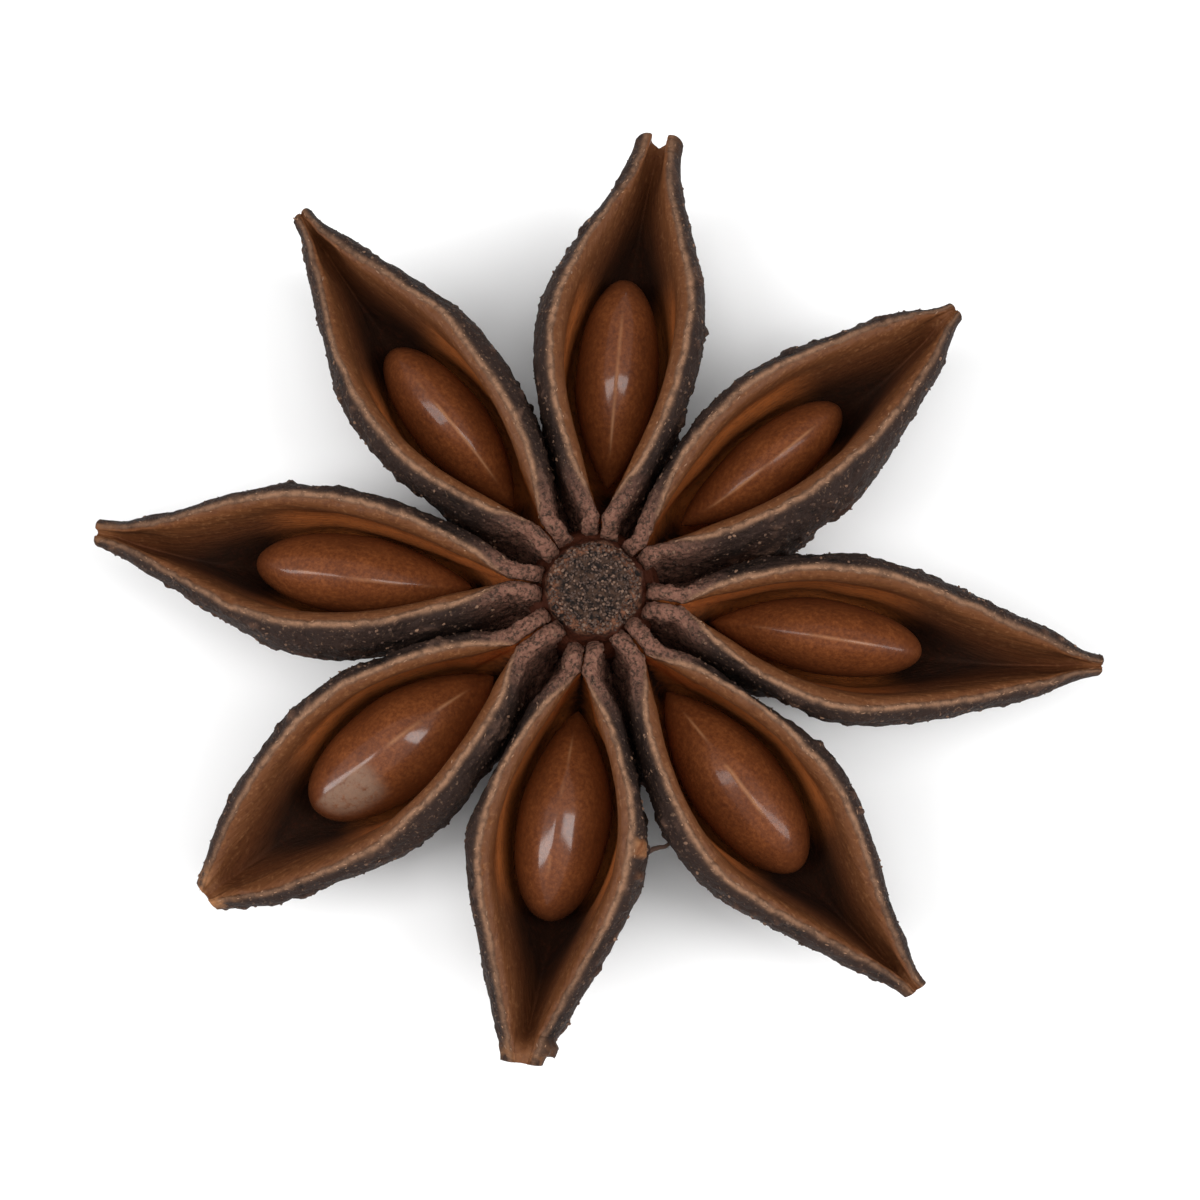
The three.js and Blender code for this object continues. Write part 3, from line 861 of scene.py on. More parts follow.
@dataclass(frozen=True)
class SkinForm:
    """How rough a carpel is, in millimetres unless they are shares.

    Attributes:
        warp: How far the folds and the lumps are bent about.
        folds: Share of the long folds in the relief.
        lumps: Share of the lumps.
        fine: Share of the fine grain.
        scabs: Strength of the scattered scabs.
        scab_level: How rare the scabs are.
        depth: How far the relief stands out at the rims.
        keel_depth: How much more it stands out at the keel.
        grit: How far the lips' grit stands out.
        grain: How far the inner wall's grain stands out.
        waves: How far the rims wander sideways.
        frays: How far their finest frays reach.
        nicks: How deep the nicks in the rims are.
        nick_level: How rare the nicks are.
        sag: How far the waves lower the rims.
    """

    warp: float = 0.35
    folds: float = 0.46
    lumps: float = 0.34
    fine: float = 0.2
    scabs: float = 2.2
    scab_level: float = 0.26
    depth: float = 0.13
    keel_depth: float = 0.09
    grit: float = 0.15
    grain: float = 0.012
    waves: float = 0.1
    frays: float = 0.05
    nicks: float = 0.28
    nick_level: float = 0.15
    sag: float = 0.06


@dataclass(frozen=True)
class SeedSize:
    """One seed's own sizes in millimetres.

    Attributes:
        middle: Its middle's distance from the axis.
        side: How far its middle lies to the left.
        half_length: Half its length.
        half_width: Half its width.
        turn: How far it is turned to the left, in degrees.
        lean: How far its top leans to the left, in degrees.
        worn: How dull its outer half is, from 0 to 1.
        gloss: How clearly it mirrors the lamps, from 0 to 1.
    """

    middle: float
    side: float
    half_length: float
    half_width: float
    turn: float = 0.0
    lean: float = 0.0
    worn: float = 0.0
    gloss: float = 1.0


@dataclass(frozen=True)
class Samples:
    """Where a carpel's points lie before its skin is wrinkled, one row for each section.

    Attributes:
        x: Distance of each section from the axis, as a column.
        places: Points in the carpel's own frame.
        off_crest: Distance along the section past the rim's crest, below 0 on the outside.
        outer: True for the columns on the outside, as a row.
        left: True for the columns on the left, as a row.
    """

    x: Array
    places: Array
    off_crest: Array
    outer: Array
    left: Array


@dataclass(frozen=True)
class Mark:
    """A place on a carpel's outside where the skin is swollen or torn, in millimetres.

    Attributes:
        side: Which wall.
        start: Where it begins, from the axis.
        end: Where it ends.
        below: How far under the rim's crest it begins.
        down_to: How far under the crest it ends.
        height: How far it stands out.
        torn: How much bare wood shows, from 0 to 1.
    """

    side: Side
    start: float
    end: float
    below: float
    down_to: float
    height: float
    torn: float = 0.0

    def mask(self, at: Samples) -> Array:
        """1 inside the mark and 0 away from it."""
        lengthwise = ease((at.x - self.start) / 0.25) * ease((self.end - at.x) / 0.18)
        depth = -at.off_crest
        across = ease((depth - self.below) / 0.14 + 0.5) * ease((self.down_to - depth) / 0.2)
        return lengthwise * across * (at.left == (self.side is Side.LEFT))


@dataclass(frozen=True)
class Carpel:
    """One woody carpel, open along its top.

    Attributes:
        name: Where it points, seen from above.
        heading: Direction of its body, degrees from +X.
        reach: From the axis to the beak's tip.
        slit: Where the closed seam opens.
        gape: Half the distance between its rims where they are furthest apart.
        peak: Share of the reach at which that is.
        tip: Half-width of the beak's end.
        taper: Power of the curve towards the tip.
        ogee: How hollow that curve is.
        sway: How far the tip bends to the left.
        roll: How far the opening leans to the left, in degrees.
        bulge: How far the left and the right wall swell over the seed.
        droop: How far the rim falls to the tip.
        notch: How far the rims reach past the keel at the tip.
        pinch: How much narrower the beak's end is for being pressed together.
        shut: How far the cleft in the beak's end is closed, from 0 to 1.
        bare: How much torn wood shows at the beak's end, from 0 to 1.
        seed: Its seed.
        marks: Where its skin is swollen or torn.
        sectors: Half-angles to the left and the right neighbour, in radians.
        number: Its place round the pod, which seeds its wrinkles.
        form: What it shares with the others.
        skin: How rough it is.
    """

    name: str
    heading: float
    reach: float
    slit: float
    gape: float
    peak: float
    tip: float
    taper: float
    ogee: float
    sway: float
    roll: float
    bulge: tuple[float, float]
    droop: float
    notch: float
    pinch: float
    shut: float
    bare: float
    seed: SeedSize
    marks: tuple[Mark, ...] = ()
    sectors: tuple[float, float] = (0.4, 0.4)
    number: int = 0
    form: PodForm = field(default_factory=PodForm)
    skin: SkinForm = field(default_factory=SkinForm)

    # Stretches between control points, from the keel up the outside and down the inside.
    OUTER_COUNTS = (6, 7, 7, 6, 10, 11, 8, 7)
    INNER_COUNTS = (5, 12, 10, 7, 7)
    CREST = sum(OUTER_COUNTS)
    HALF = CREST + sum(INNER_COUNTS)

    # Where the control points of the rounded keel lie, as shares of a quarter turn.
    KEEL_TURNS = (0.3, 0.58, 0.82)

    # Where the random numbers of the knuckles, the skin's warp and its folds start.
    KNUCKLE_SEED = 77
    WARP_SEED = 40
    FOLD_SEED = 51

    def rim_half_width(self, x: Array) -> Array:
        """Half the distance between the two rims."""
        peak = self.peak * self.reach
        opened, closed = between(x, self.slit, peak), between(x, peak, self.reach)
        rising = np.maximum(self.form.crease, self.gape * np.sin(np.pi / 2 * opened**self.form.rise_power))
        falling = self.tip + (self.gape - self.tip) * (1 - closed**self.taper) ** self.ogee
        return np.where(x < peak, rising, falling)

    def rim_height(self, x: Array) -> Array:
        """Height of the rims: a low arch out from the column, then a fall to the beak."""
        form, share = self.form, x / self.reach
        arch = np.maximum(0.0, 1 - ((share - form.arch_place) / form.arch_place) ** 2)
        fallen = np.maximum(0.0, (share - form.droop_start) / (1 - form.droop_start))
        drop = lerp(fallen**form.droop_power, ease(fallen), form.neck)
        return form.face + form.rim_arch * arch - self.droop * drop

    def keel_height(self, x: Array) -> Array:
        """Height of the keel under the carpel."""
        form = self.form
        inner = np.maximum(0.0, (form.keel_foot - x) / (form.keel_foot - form.scar_ring)) ** 2
        outer = np.maximum(0.0, (x / self.reach - form.keel_lift) / (1 - form.keel_lift)) ** form.keel_curve
        tip = form.face - self.droop - form.beak_depth
        return form.keel_root * inner + (tip + form.belly) * outer - form.belly

    def floor_height(self, x: Array) -> Array:
        """Height of the seed chamber's floor, which rises to the beak's end."""
        form = self.form
        sunk = between(x, self.slit, form.floor_start) ** form.floor_fall
        inner = lerp(self.rim_height(x) - form.crease_depth, form.floor, sunk)
        risen = between(x, form.floor_end, self.reach) ** form.floor_rise
        outer = lerp(form.floor, form.face - self.droop - form.slot_depth, risen)
        shut = self.shut * ease((x - self.reach + form.shut_length) / (0.8 * form.shut_length))
        outer = lerp(outer, self.rim_height(x) - form.shut_depth, shut)
        return np.where(x < form.floor_start, inner, outer)

    def closed_in(self, x: Array) -> Array:
        """How far the walls have closed in on the beak's cleft, from 0 beside the seed to 1 past it."""
        form, seed = self.form, self.seed
        start = seed.middle + form.cleft_start * seed.half_length
        return ease(between(x, start, seed.middle + seed.half_length + form.cleft_length))

    def chamber_shift(self, x: Array, height: Array) -> Array:
        """How far the chamber lies to the left of the slit's line at a height, to make room for its seed."""
        form, seed = self.form, self.seed
        slope = form.throat_lean * math.tan(math.radians(seed.lean))
        leaning = slope * np.minimum(0.0, height - form.seed_level)
        return (seed.side + leaning) * ease((x - self.slit) / form.shift_length) * (1 - self.closed_in(x))

    def seed_half_width(self, x: Array) -> Array:
        """Half the width of the carpel's seed at x."""
        place = np.clip((x - self.seed.middle) / self.seed.half_length, -1.0, 1.0)
        power, root = (np.where(place < 0, a, b) for a, b in zip(self.form.seed_inner, self.form.seed_outer))
        return self.seed.half_width * (1 - np.abs(place) ** power) ** root

    def lipness(self, x: Array) -> Array:
        """1 where the lips are thick and round beside the column, 0 where they are plain rims."""
        return 1 - ease(between(x, self.slit, self.form.lip_end))

    def shoulder_half_width(self, x: Array, sector: float) -> Array:
        """Half-width of the outer wall just below the rim, kept inside the carpel's own sector."""
        form = self.form
        thinning = lerp(1.0, form.band_tip, ease(between(x, form.lip_end, self.reach)))
        band = lerp(form.band, form.lip_band, self.lipness(x))
        wanted = self.rim_half_width(x) + band * thinning
        apart = ease(between(x, form.groove_start, form.groove_end))
        return soft_min(wanted, lerp(1.0, form.groove, apart) * x * math.tan(sector))

    def swelling(self, x: Array, side: Side) -> Array:
        """How far one wall swells outwards over the seed."""
        form = self.form
        return side.pick(self.bulge) * np.sin(np.pi * between(x, form.swell_start, form.swell_end)) ** 2

    def knuckle(self, x: Array, side: Side) -> Array:
        """How far a lip's rounded end falls beside the column's disc."""
        form = self.form
        place = np.array([self.number * 1.37 + 0.4, side.value * 2.3 + 0.3, 0.5])
        own = Noise(self.KNUCKLE_SEED).at(place)
        start = form.knuckle_start + form.knuckle_spread * float(own)
        near = clamp01((start - x) / (form.knuckle_start - form.knuckle_end))
        return form.knuckle_drop * (1 - np.sqrt(1 - near**2 * 0.999))

    def outside(
        self, x: Array, side: Side, half: Array, rim: Array, lip: Array
    ) -> tuple[list[list[Array]], Array]:
        """Control points up the outside of one wall.

        Args:
            x: Distances from the axis.
            side: Which wall.
            half: Half the distance between the rims.
            rim: The rim's height.
            lip: How thick the lips are, from 0 to 1.

        Returns:
            Pairs of half-width and height from beside the keel to the crest, and the shoulder's half-width.
        """
        form, sector = self.form, side.pick(self.sectors)
        keel, swell = self.keel_height(x), self.swelling(x, side)
        shoulder = self.shoulder_half_width(x, sector)
        drop = np.minimum(form.shoulder_drop, 0.35 * (rim - keel))
        top, base = rim - drop, keel + form.keel_share * (rim - keel)
        free = np.maximum(0.6 * shoulder, shoulder - form.flank_slope * (top - base))
        filled = np.maximum(free, form.fused * x * math.tan(sector))
        width = lerp(filled, free, ease(between(x, form.fused_end, form.free)))
        crest = np.minimum(half + form.crest, 0.9 * shoulder)
        crest = lerp(crest, np.minimum(0.5 * (half + shoulder), crest + 0.35), 0.6 * lip)
        points = []
        for share in self.KEEL_TURNS:
            angle = math.pi / 2 * share
            round_width = (width + 0.5 * swell) * math.sin(angle) ** form.keel_power
            points.append([round_width, base - (base - keel) * math.cos(angle) ** form.keel_power])
        rounding = 0.35 - 0.12 * lip
        points += [
            [width + 0.5 * swell, base],
            [lerp(width, shoulder, 0.55) + swell, lerp(base, top, 0.5)],
            [shoulder + 0.3 * swell, top],
            [lerp(shoulder, crest, rounding), rim - rounding * drop],
            [crest, rim],
        ]
        return points, shoulder

    def wall(self, x: Array, side: Side) -> list[Array]:
        """Control points of one side: up the outside to the crest, and down the inside.

        Args:
            x: Distances from the axis.
            side: Which wall.

        Returns:
            Points as arrays of half-width and height.
        """
        form, half, lip, closing = self.form, self.rim_half_width(x), self.lipness(x), self.closed_in(x)
        rim = self.rim_height(x) - self.knuckle(x, side)
        floor = self.floor_height(x) - self.knuckle(x, Side.LEFT)
        points, shoulder = self.outside(x, side, half, rim, lip)
        edge = np.maximum(0.35 * half, np.minimum(half, 0.9 * shoulder) - form.crest)
        level = lerp(floor, rim, form.throat_share)
        low = lerp(floor, level, 0.25)
        room = lerp(form.throat_width, form.throat_tip, closing) * half
        room = np.maximum(room, self.seed_half_width(x) + form.throat_room)
        shift, low_shift = (side.value * self.chamber_shift(x, height) for height in (level, low))
        throat = np.minimum(room + shift, form.throat_limit * edge)
        round_lip = 0.22 * lip
        flare = form.wall_flare - form.wall_swell * closing
        points += [
            [edge, rim - 0.05 - round_lip],
            [lerp(throat, edge, flare), lerp(level, rim - round_lip, 0.5)],
            [throat, level],
            [lerp(form.chamber_low, form.cleft_low, closing) * (throat - shift) + low_shift, low],
        ]
        return [np.stack(point, -1) for point in points]

    def sections(self, x: Array) -> Array:
        """Smooth closed sections at each station, as [y, z] samples round the ring."""
        left, right = self.wall(x, Side.LEFT), self.wall(x, Side.RIGHT)
        keel = np.stack([np.zeros_like(x), self.keel_height(x)], -1)
        bottom = self.floor_height(x) - self.knuckle(x, Side.LEFT)
        floor = np.stack([self.chamber_shift(x, bottom), bottom], -1)
        mirrored = [point * (-1.0, 1.0) for point in reversed(right)]
        counts = [*self.OUTER_COUNTS, *self.INNER_COUNTS]
        return through(np.stack([keel, *left, floor, *mirrored], 1), counts + counts[::-1])

    def stations(self) -> Array:
        """Distances from the axis, closer together at the lips and at the tip."""
        share = np.linspace(0, 1, self.form.stations)
        eased = share - 0.5 * np.sin(2 * np.pi * share) / (2 * np.pi)
        return lerp(self.form.root, self.reach - 0.1, eased)

    def placed(self, places: Array) -> Array:
        """Points of the carpel's own upright frame, leaned over about the rims and turned to its heading."""
        form = self.form
        x, y, z = places[..., 0], places[..., 1], places[..., 2]
        roll = math.radians(self.roll) * ease(between(x, form.twist_start, form.twist_end))
        level = z - form.face
        leaned = y * np.cos(roll) + level * np.sin(roll)
        height = form.face + level * np.cos(roll) - y * np.sin(roll)
        return np.stack([*turned(x, leaned, self.heading), height], -1)

    def samples(self) -> Samples:
        """The sections' points in the carpel's own frame, with the beak bent and its end cut back."""
        form, x = self.form, self.stations()
        ring = self.sections(x)
        index = np.arange(2 * self.HALF)
        left = index <= self.HALF
        step = np.linalg.norm(np.diff(ring, axis=1, append=ring[:, :1]), axis=-1)
        girth = np.concatenate([np.zeros((len(x), 1)), np.cumsum(step, axis=1)[:, :-1]], axis=1)
        crest_left, crest_right = girth[:, self.CREST, None], girth[:, 2 * self.HALF - self.CREST, None]
        x = x[:, None]
        keel, rim, share = self.keel_height(x), self.rim_height(x), x / self.reach
        lowness = 1 - (ring[..., 1] - keel) / (rim - keel)
        back = self.notch * share**12 * clamp01(lowness)
        pressed = 1 - self.pinch * ease(between(share, form.pinch_start, 1))
        bowed = np.maximum(0.0, (share - form.bend_start) / (1 - form.bend_start))
        bent = self.sway * bowed**form.bend_power
        return Samples(
            x=x,
            places=np.stack([x - back, ring[..., 0] * pressed + bent, ring[..., 1]], -1),
            off_crest=np.where(left, girth - crest_left, crest_right - girth),
            outer=np.where(left, index, 2 * self.HALF - index) <= self.CREST,
            left=left,
        )

    def build(self, finish: Material) -> Piece:
        """Makes the carpel's piece.

        Args:
            finish: The wood's material.

        Returns:
            A closed mesh object with the numbers that the finish reads.
        """
        at = self.samples()
        relief, shift = self.relief(at)
        torn = np.zeros_like(at.off_crest)
        for mark in self.marks:
            mask = mark.mask(at)
            rough = 0.75 + 0.5 * Pattern.TORN_WOOD.at(at.places, self.number)
            shift = shift + mark.height * mask * rough
            torn = np.maximum(torn, mark.torn * mask)
        moved = at.places + normals_of(at.places) * shift[..., None] + self.rim_wear(at)
        world = self.placed(moved)
        world[..., 2] = np.maximum(world[..., 2], 0.0)
        rings, sides = at.off_crest.shape
        made = mesh_object(f"carpel_{self.name}", world, grid_faces(rings, sides) + self.caps(rings), finish)
        self.measure(made, at, relief, torn, world)
        return made

    def caps(self, rings: int) -> list[tuple[int, ...]]:
        """Triangles that close the two ends."""
        half, up = self.HALF, self.CREST
        left_outer, left_inner = np.arange(0, up + 1), np.arange(half, up - 1, -1)
        right_outer = np.concatenate([[0], np.arange(2 * half - 1, 2 * half - up - 1, -1)])
        right_inner = np.arange(half, 2 * half - up + 1)
        tip = (rings - 1) * 2 * half
        faces = zipped(left_outer + tip, left_inner + tip)
        faces += [face[::-1] for face in zipped(right_outer + tip, right_inner + tip)]
        faces += [face[::-1] for face in zipped(left_outer, left_inner)]
        return faces + zipped(right_outer, right_inner)

    def relief(self, at: Samples) -> tuple[Array, Array]:
        """The wrinkles of the skin and the faint grain of the inner wall.

        Args:
            at: Where the points lie.

        Returns:
            The wrinkles' height from 0 to 1, and how far each point moves outwards.
        """
        skin, places, own = self.skin, at.places, 7 * self.number
        warp = [Noise(self.WARP_SEED + own + axis).at(places * 0.8) for axis in range(3)]
        bent = places + skin.warp * np.stack(warp, -1)
        folds = Noise(self.FOLD_SEED + own).ridged(bent * (0.42, 1.15, 1.15))
        lumps = Pattern.LUMPS.at(bent, self.number)
        fine, scabs, grit, grain = (
            pattern.at(places, self.number)
            for pattern in (Pattern.FINE, Pattern.SCABS, Pattern.GRIT, Pattern.INNER_GRAIN)
        )
        lip = self.lipness(at.x)
        height = skin.folds * folds + skin.lumps * lumps + skin.fine * fine
        height = height + skin.scabs * np.maximum(0.0, scabs - skin.scab_level) * (1 - lip)
        strength = skin.depth + skin.keel_depth * clamp01(-at.off_crest / 5.0)
        strength = strength * (1 - 0.35 * lip) * (1 - 0.55 * (at.x / self.reach) ** 5)
        strength = strength * ease(np.abs(at.off_crest) / 0.4)
        grit = skin.grit * lip * grit
        shift = np.where(at.outer, strength * height + grit, skin.grain * grain + 0.6 * grit)
        return clamp01(0.5 + 0.62 * height), shift * ease((at.x - self.form.root) / 0.5)

    def rim_wear(self, at: Samples) -> Array:
        """How the small waves and nicks along the two torn edges move each point."""
        skin = self.skin
        line = np.stack(np.broadcast_arrays(at.x, np.where(at.left, 0.0, 31.0), 0.0), -1)
        waves, nicks, frays = (
            pattern.at(line, self.number)
            for pattern in (Pattern.RIM_WAVES, Pattern.RIM_NICKS, Pattern.RIM_FRAYS)
        )
        out = ease((at.x - 2.2) / 1.5)
        near = bell(at.off_crest, 0.5) * out
        sideways = skin.waves * waves * near + skin.frays * frays * bell(at.off_crest - 0.05, 0.18)
        deep = skin.nicks * np.maximum(0.0, nicks - skin.nick_level) * bell(at.off_crest, 0.22)
        down = -(deep + skin.sag * np.abs(waves) * near) * out
        return np.stack([0 * down, sideways * np.where(at.left, -1.0, 1.0), down], -1)

    def measure(self, made: Piece, at: Samples, relief: Array, torn: Array, world: Array) -> None:
        """Writes the numbers that the wood's finish reads.

        Args:
            made: The piece.
            at: Where its points lie.
            relief: The wrinkles' height.
            torn: Where bare wood shows outside.
            world: The points in the pod's frame.
        """
        x, share, lip = at.x, at.x / self.reach, self.lipness(at.x)
        rim, floor = self.rim_height(x), self.floor_height(x)
        # How deep each point lies below the rim, scaled by dim and faded towards the tip, gives the sunk
        # number that the inner wall's painted shade follows.
        depth = clamp01((rim - at.places[..., 2]) / np.maximum(0.8, rim - floor))
        seed_start = self.seed.middle - self.seed.half_length
        seed_end = self.seed.middle + self.seed.half_length
        beak = ease((x - seed_end + 2.2) / 2.4)
        fading = ease((x - seed_end - 0.4) / (0.8 * (self.reach - seed_end)))
        dim = lerp(0.72 + 0.23 * ease((seed_start - x + 0.6) / 0.8), lerp(1.12, 0.45, fading), beak)
        wander = Pattern.INNER_EDGE.at(at.places, self.number)
        past_lip = at.off_crest - 0.42 * lip + 0.05 * wander
        inner = ease((past_lip - 0.06) / 0.12)
        edge = np.where(past_lip > 0.02, bell(past_lip - 0.02, 0.1), bell(past_lip - 0.02, 0.12))
        numbers = {
            "inner": inner,
            "rim": edge * ease(x - 2.7) * lerp(1.0, 0.5, ease((share - 0.6) / 0.35)),
            "sunk": clamp01(depth * dim) * inner,
            "beak": beak,
            "keel": clamp01(-at.off_crest / 6.0),
            "lip": lip * (1 - inner),
            "tip": self.bare * ease((share - 0.93) / 0.06) * bell(at.off_crest, 0.45),
            "relief": np.where(at.outer, relief, 0.5),
            "torn": torn,
            "skin": (1 - inner) * ease((-at.off_crest - 0.1) / 0.2) * (world[..., 2] > 0.4),
        }
        run = np.gradient(world, axis=0)
        vectors = {
            "run": run / np.linalg.norm(run, axis=-1, keepdims=True),
            "lengthwise": at.places + (CARPEL_APART * self.number, 0, 0),
        }
        spread = {name: np.broadcast_to(values, torn.shape) for name, values in numbers.items()}
        set_attributes(made, spread | vectors)


# ---------------------------------------------------------------- the seeds


@dataclass(frozen=True)
class SeedForm:
    """Sizes that all seeds share, in millimetres, and the rule that grows a seed."""

    half_height: float = 2.15
    ridge: float = 0.03
    ridge_fall: float = -90.0
    rings: int = 72
    segments: int = 96

    def tree(self) -> FormTree:
        """The rule that turns a ball into a seed: pointed at its inner end, ridged along its top."""
        made = FormTree("seed_form")
        sizes = ("Half Length", "Half Width", "Half Height", "Ridge")
        length, width, height, ridge = (made.input(name) for name in sizes)
        ball = made.add("MeshUVSphere", {"Segments": self.segments, "Rings": self.rings, "Radius": 1.0})
        place = made.add("ShaderNodeSeparateXYZ", {0: made.add("InputPosition").outputs[0]})
        side, up, along = place.outputs
        inner, outer = (self._fullness(made, along, end) for end in ("Inner", "Outer"))
        outwards = made.math("GREATER_THAN", along, 0.0)
        wanted = made.scaled(made.minus(outer, inner), outwards, inner)
        ball_width = made.math("MAXIMUM", made.minus(1.0, made.math("POWER", along, 2.0)), 1e-5)
        full = made.math("DIVIDE", wanted, made.math("SQRT", ball_width))
        across = made.times(made.times(side, width), full)
        tall = made.times(made.times(up, height), full)
        off_ridge = made.math("POWER", made.math("ABSOLUTE", side), 2.0)
        near = made.math("EXPONENT", made.times(off_ridge, self.ridge_fall))
        crest = made.times(made.times(near, made.math("GREATER_THAN", up, 0.0)), made.times(up, ridge))
        parts = {0: made.times(along, length), 1: across, 2: made.plus(tall, crest)}
        where = made.add("ShaderNodeCombineXYZ", parts).outputs[0]
        shaped = made.add("SetPosition", {"Geometry": ball.outputs["Mesh"], "Position": where})
        made.finish(made.add("SetShadeSmooth", {"Geometry": shaped.outputs[0]}).outputs[0])
        return made

    def _fullness(self, tree: FormTree, along: Socket, end: str) -> Socket:
        """How full the seed is at a place from -1 to 1, by the powers for one of its ends."""
        power, root = tree.input(f"{end} Power"), tree.input(f"{end} Root")
        distance = tree.math("POWER", tree.math("ABSOLUTE", along), power)
        return tree.math("POWER", tree.math("MAXIMUM", tree.minus(1.0, distance), 0.0), root)


@dataclass(frozen=True)
class Seed:
    """One seed in its carpel.

    Attributes:
        carpel: The carpel that it lies in.
        form: The sizes that all seeds share.
        dents: How deep its dents are, as a share of its size.
    """

    carpel: Carpel
    form: SeedForm = field(default_factory=SeedForm)
    dents: float = 0.012

    def build(self, tree: FormTree, finish: Material) -> Piece:
        """Grows the seed and lays it in its carpel.

        Args:
            tree: The rule for its shape.
            finish: The seed coat's material.

        Returns:
            The piece.
        """
        form, size, shared = self.form, self.carpel.seed, self.carpel.form
        values = {
            "Half Length": size.half_length,
            "Half Width": size.half_width,
            "Half Height": form.half_height,
            "Ridge": form.ridge,
            "Material": finish,
        }
        for end, (power, root) in (("Inner", shared.seed_inner), ("Outer", shared.seed_outer)):
            values |= {f"{end} Power": power, f"{end} Root": root}
        name = f"seed_{self.carpel.name}"
        made = tree.grow(f"{name}_coat", bpy.data.meshes.new(name), values)
        own = np.empty(len(made.data.vertices) * 3, np.float32)
        made.data.vertices.foreach_get("co", own)
        own = own.reshape(-1, 3).astype(float)
        dents = Pattern.SEED_DENTS.at(own, self.carpel.number)
        own *= 1 + self.dents * dents[:, None]
        up, across = turned(own[:, 2], own[:, 1], size.lean)
        world = np.stack([*turned(own[:, 0], across, size.turn), up], -1)
        world = self.carpel.placed(world + (size.middle, size.side, shared.seed_level))
        made.data.vertices.foreach_set("co", (world * MM).astype(np.float32).ravel())
        self.measure(made, own)
        made.data.update()
        return made

    def measure(self, made: Piece, own: Array) -> None:
        """Writes the numbers that the seed's finish reads."""
        size, number = self.carpel.seed, self.carpel.number
        along, side = own[:, 0] / size.half_length, own[:, 1] / size.half_width
        top = ease((own[:, 2] / self.form.half_height - 0.2) / 0.4)
        span = ease((along + 0.8) / 0.25) * ease((0.66 - along) / 0.2)
        breaks = Pattern.SEAM_BREAKS.at(own, number)
        seam = (0.6 - 0.14 * along) * bell(own[:, 1], 0.042) * top * span * ease(0.55 + 1.1 * breaks)
        # Painted shade, darker on the flanks, at the outer end and on the underside.
        rounding = 0.5 * ease((np.abs(side) - 0.6) / 0.5) + 0.35 * ease((along - 0.6) / 0.4)
        patch = ease((along - 0.3) / 0.2) * ease((side + 0.08) / 0.12) * ease((0.85 - side) / 0.35)
        numbers = {
            "seam": seam,
            "flank_shade": clamp01(rounding + 0.2 * (1 - top)),
            "worn": size.worn * patch * top,
            "gloss": np.full(len(own), size.gloss),
            "lengthwise": own + (SEED_APART * number, 0, 0),
        }
        set_attributes(made, numbers)


# ---------------------------------------------------------------- crumbs and fibres


@dataclass(frozen=True)
class Strewing:
    """One kind of small loose bit, in millimetres.

    Attributes:
        where: The number on the surface that says how thickly it lies.
        density: How many lie on a square millimetre where that number is 1.
        small: The smallest bit's radius.
        large: The largest bit's radius.
        length: How many times longer than wide it is.
        height: Its height as a share of its width.
        pale: 1 for torn fibres, 0 for crumbs.
        scatter: How far it turns away from the carpel's run, from 0 to 1.
    """

    where: str
    density: float
    small: float
    large: float
    length: float = 1.3
    height: float = 0.6
    pale: float = 0.0
    scatter: float = 1.0


class Litter:
    """Crumbs and torn fibres strewn over a surface by rule."""

    def __init__(self, name: str, *kinds: Strewing) -> None:
        """Builds the rule for these kinds of bits."""
        self.form = FormTree(name)
        seed = self.form.input("Seed", "Int")
        joined = self.form.add("JoinGeometry")
        for index, kind in enumerate(kinds):
            number = self.form.plus(seed, float(100 * index))
            self.form.feed(joined.inputs["Geometry"], self._strewn(kind, number))
        self.form.finish(joined.outputs["Geometry"])

    def _strewn(self, kind: Strewing, number: Socket) -> Socket:
        """The instances of one kind of bit, strewn by a seed number."""
        form = self.form
        density = form.times(form.stored(kind.where), kind.density / MM**2)
        spread = {"Mesh": form.inputs.outputs["Geometry"], "Density": density, "Seed": number}
        points = form.add("DistributePointsOnFaces", spread, distribute_method="RANDOM")
        limits = {0: (-kind.scatter,) * 3, 1: (kind.scatter,) * 3, "Seed": number}
        stray = form.add("FunctionNodeRandomValue", limits, data_type="FLOAT_VECTOR").outputs["Value"]
        run = form.stored("run", "FLOAT_VECTOR")
        heading = form.add("ShaderNodeVectorMath", {0: run, 1: stray}, operation="ADD").outputs[0]
        facing = {"Rotation": points.outputs["Rotation"], "Vector": heading}
        rotation = form.add("FunctionNodeAlignRotationToVector", facing, axis="X").outputs[0]
        size = self._random(kind.small * MM, kind.large * MM, number)
        sides = {0: form.times(size, kind.length), 1: size, 2: form.times(size, kind.height)}
        bits = {
            "Points": points.outputs["Points"],
            "Instance": form.add("MeshIcoSphere", {"Radius": 1.0, "Subdivisions": 1}).outputs["Mesh"],
            "Rotation": rotation,
            "Scale": form.add("ShaderNodeCombineXYZ", sides).outputs[0],
        }
        placed = form.add("InstanceOnPoints", bits).outputs[0]
        shaded = form.store(placed, "shade", self._random(0.0, 1.0, number))
        return form.store(shaded, "pale", kind.pale)

    def _random(self, low: float, high: float, seed: Socket) -> Socket:
        """A random number for each bit."""
        values = {2: low, 3: high, "Seed": seed}
        return self.form.add("FunctionNodeRandomValue", values, data_type="FLOAT").outputs[1]

    def strew(self, base: Piece, name: str, seed: int, finish: Material) -> Piece:
        """Strews the bits over a piece.

        Args:
            base: The piece that they lie on, which stays as it is.
            name: The new piece's name.
            seed: Which of the many strewings.
            finish: The bits' material.

        Returns:
            The bits as a piece of their own.
        """
        return self.form.grow(name, base.data.copy(), {"Seed": seed, "Material": finish})


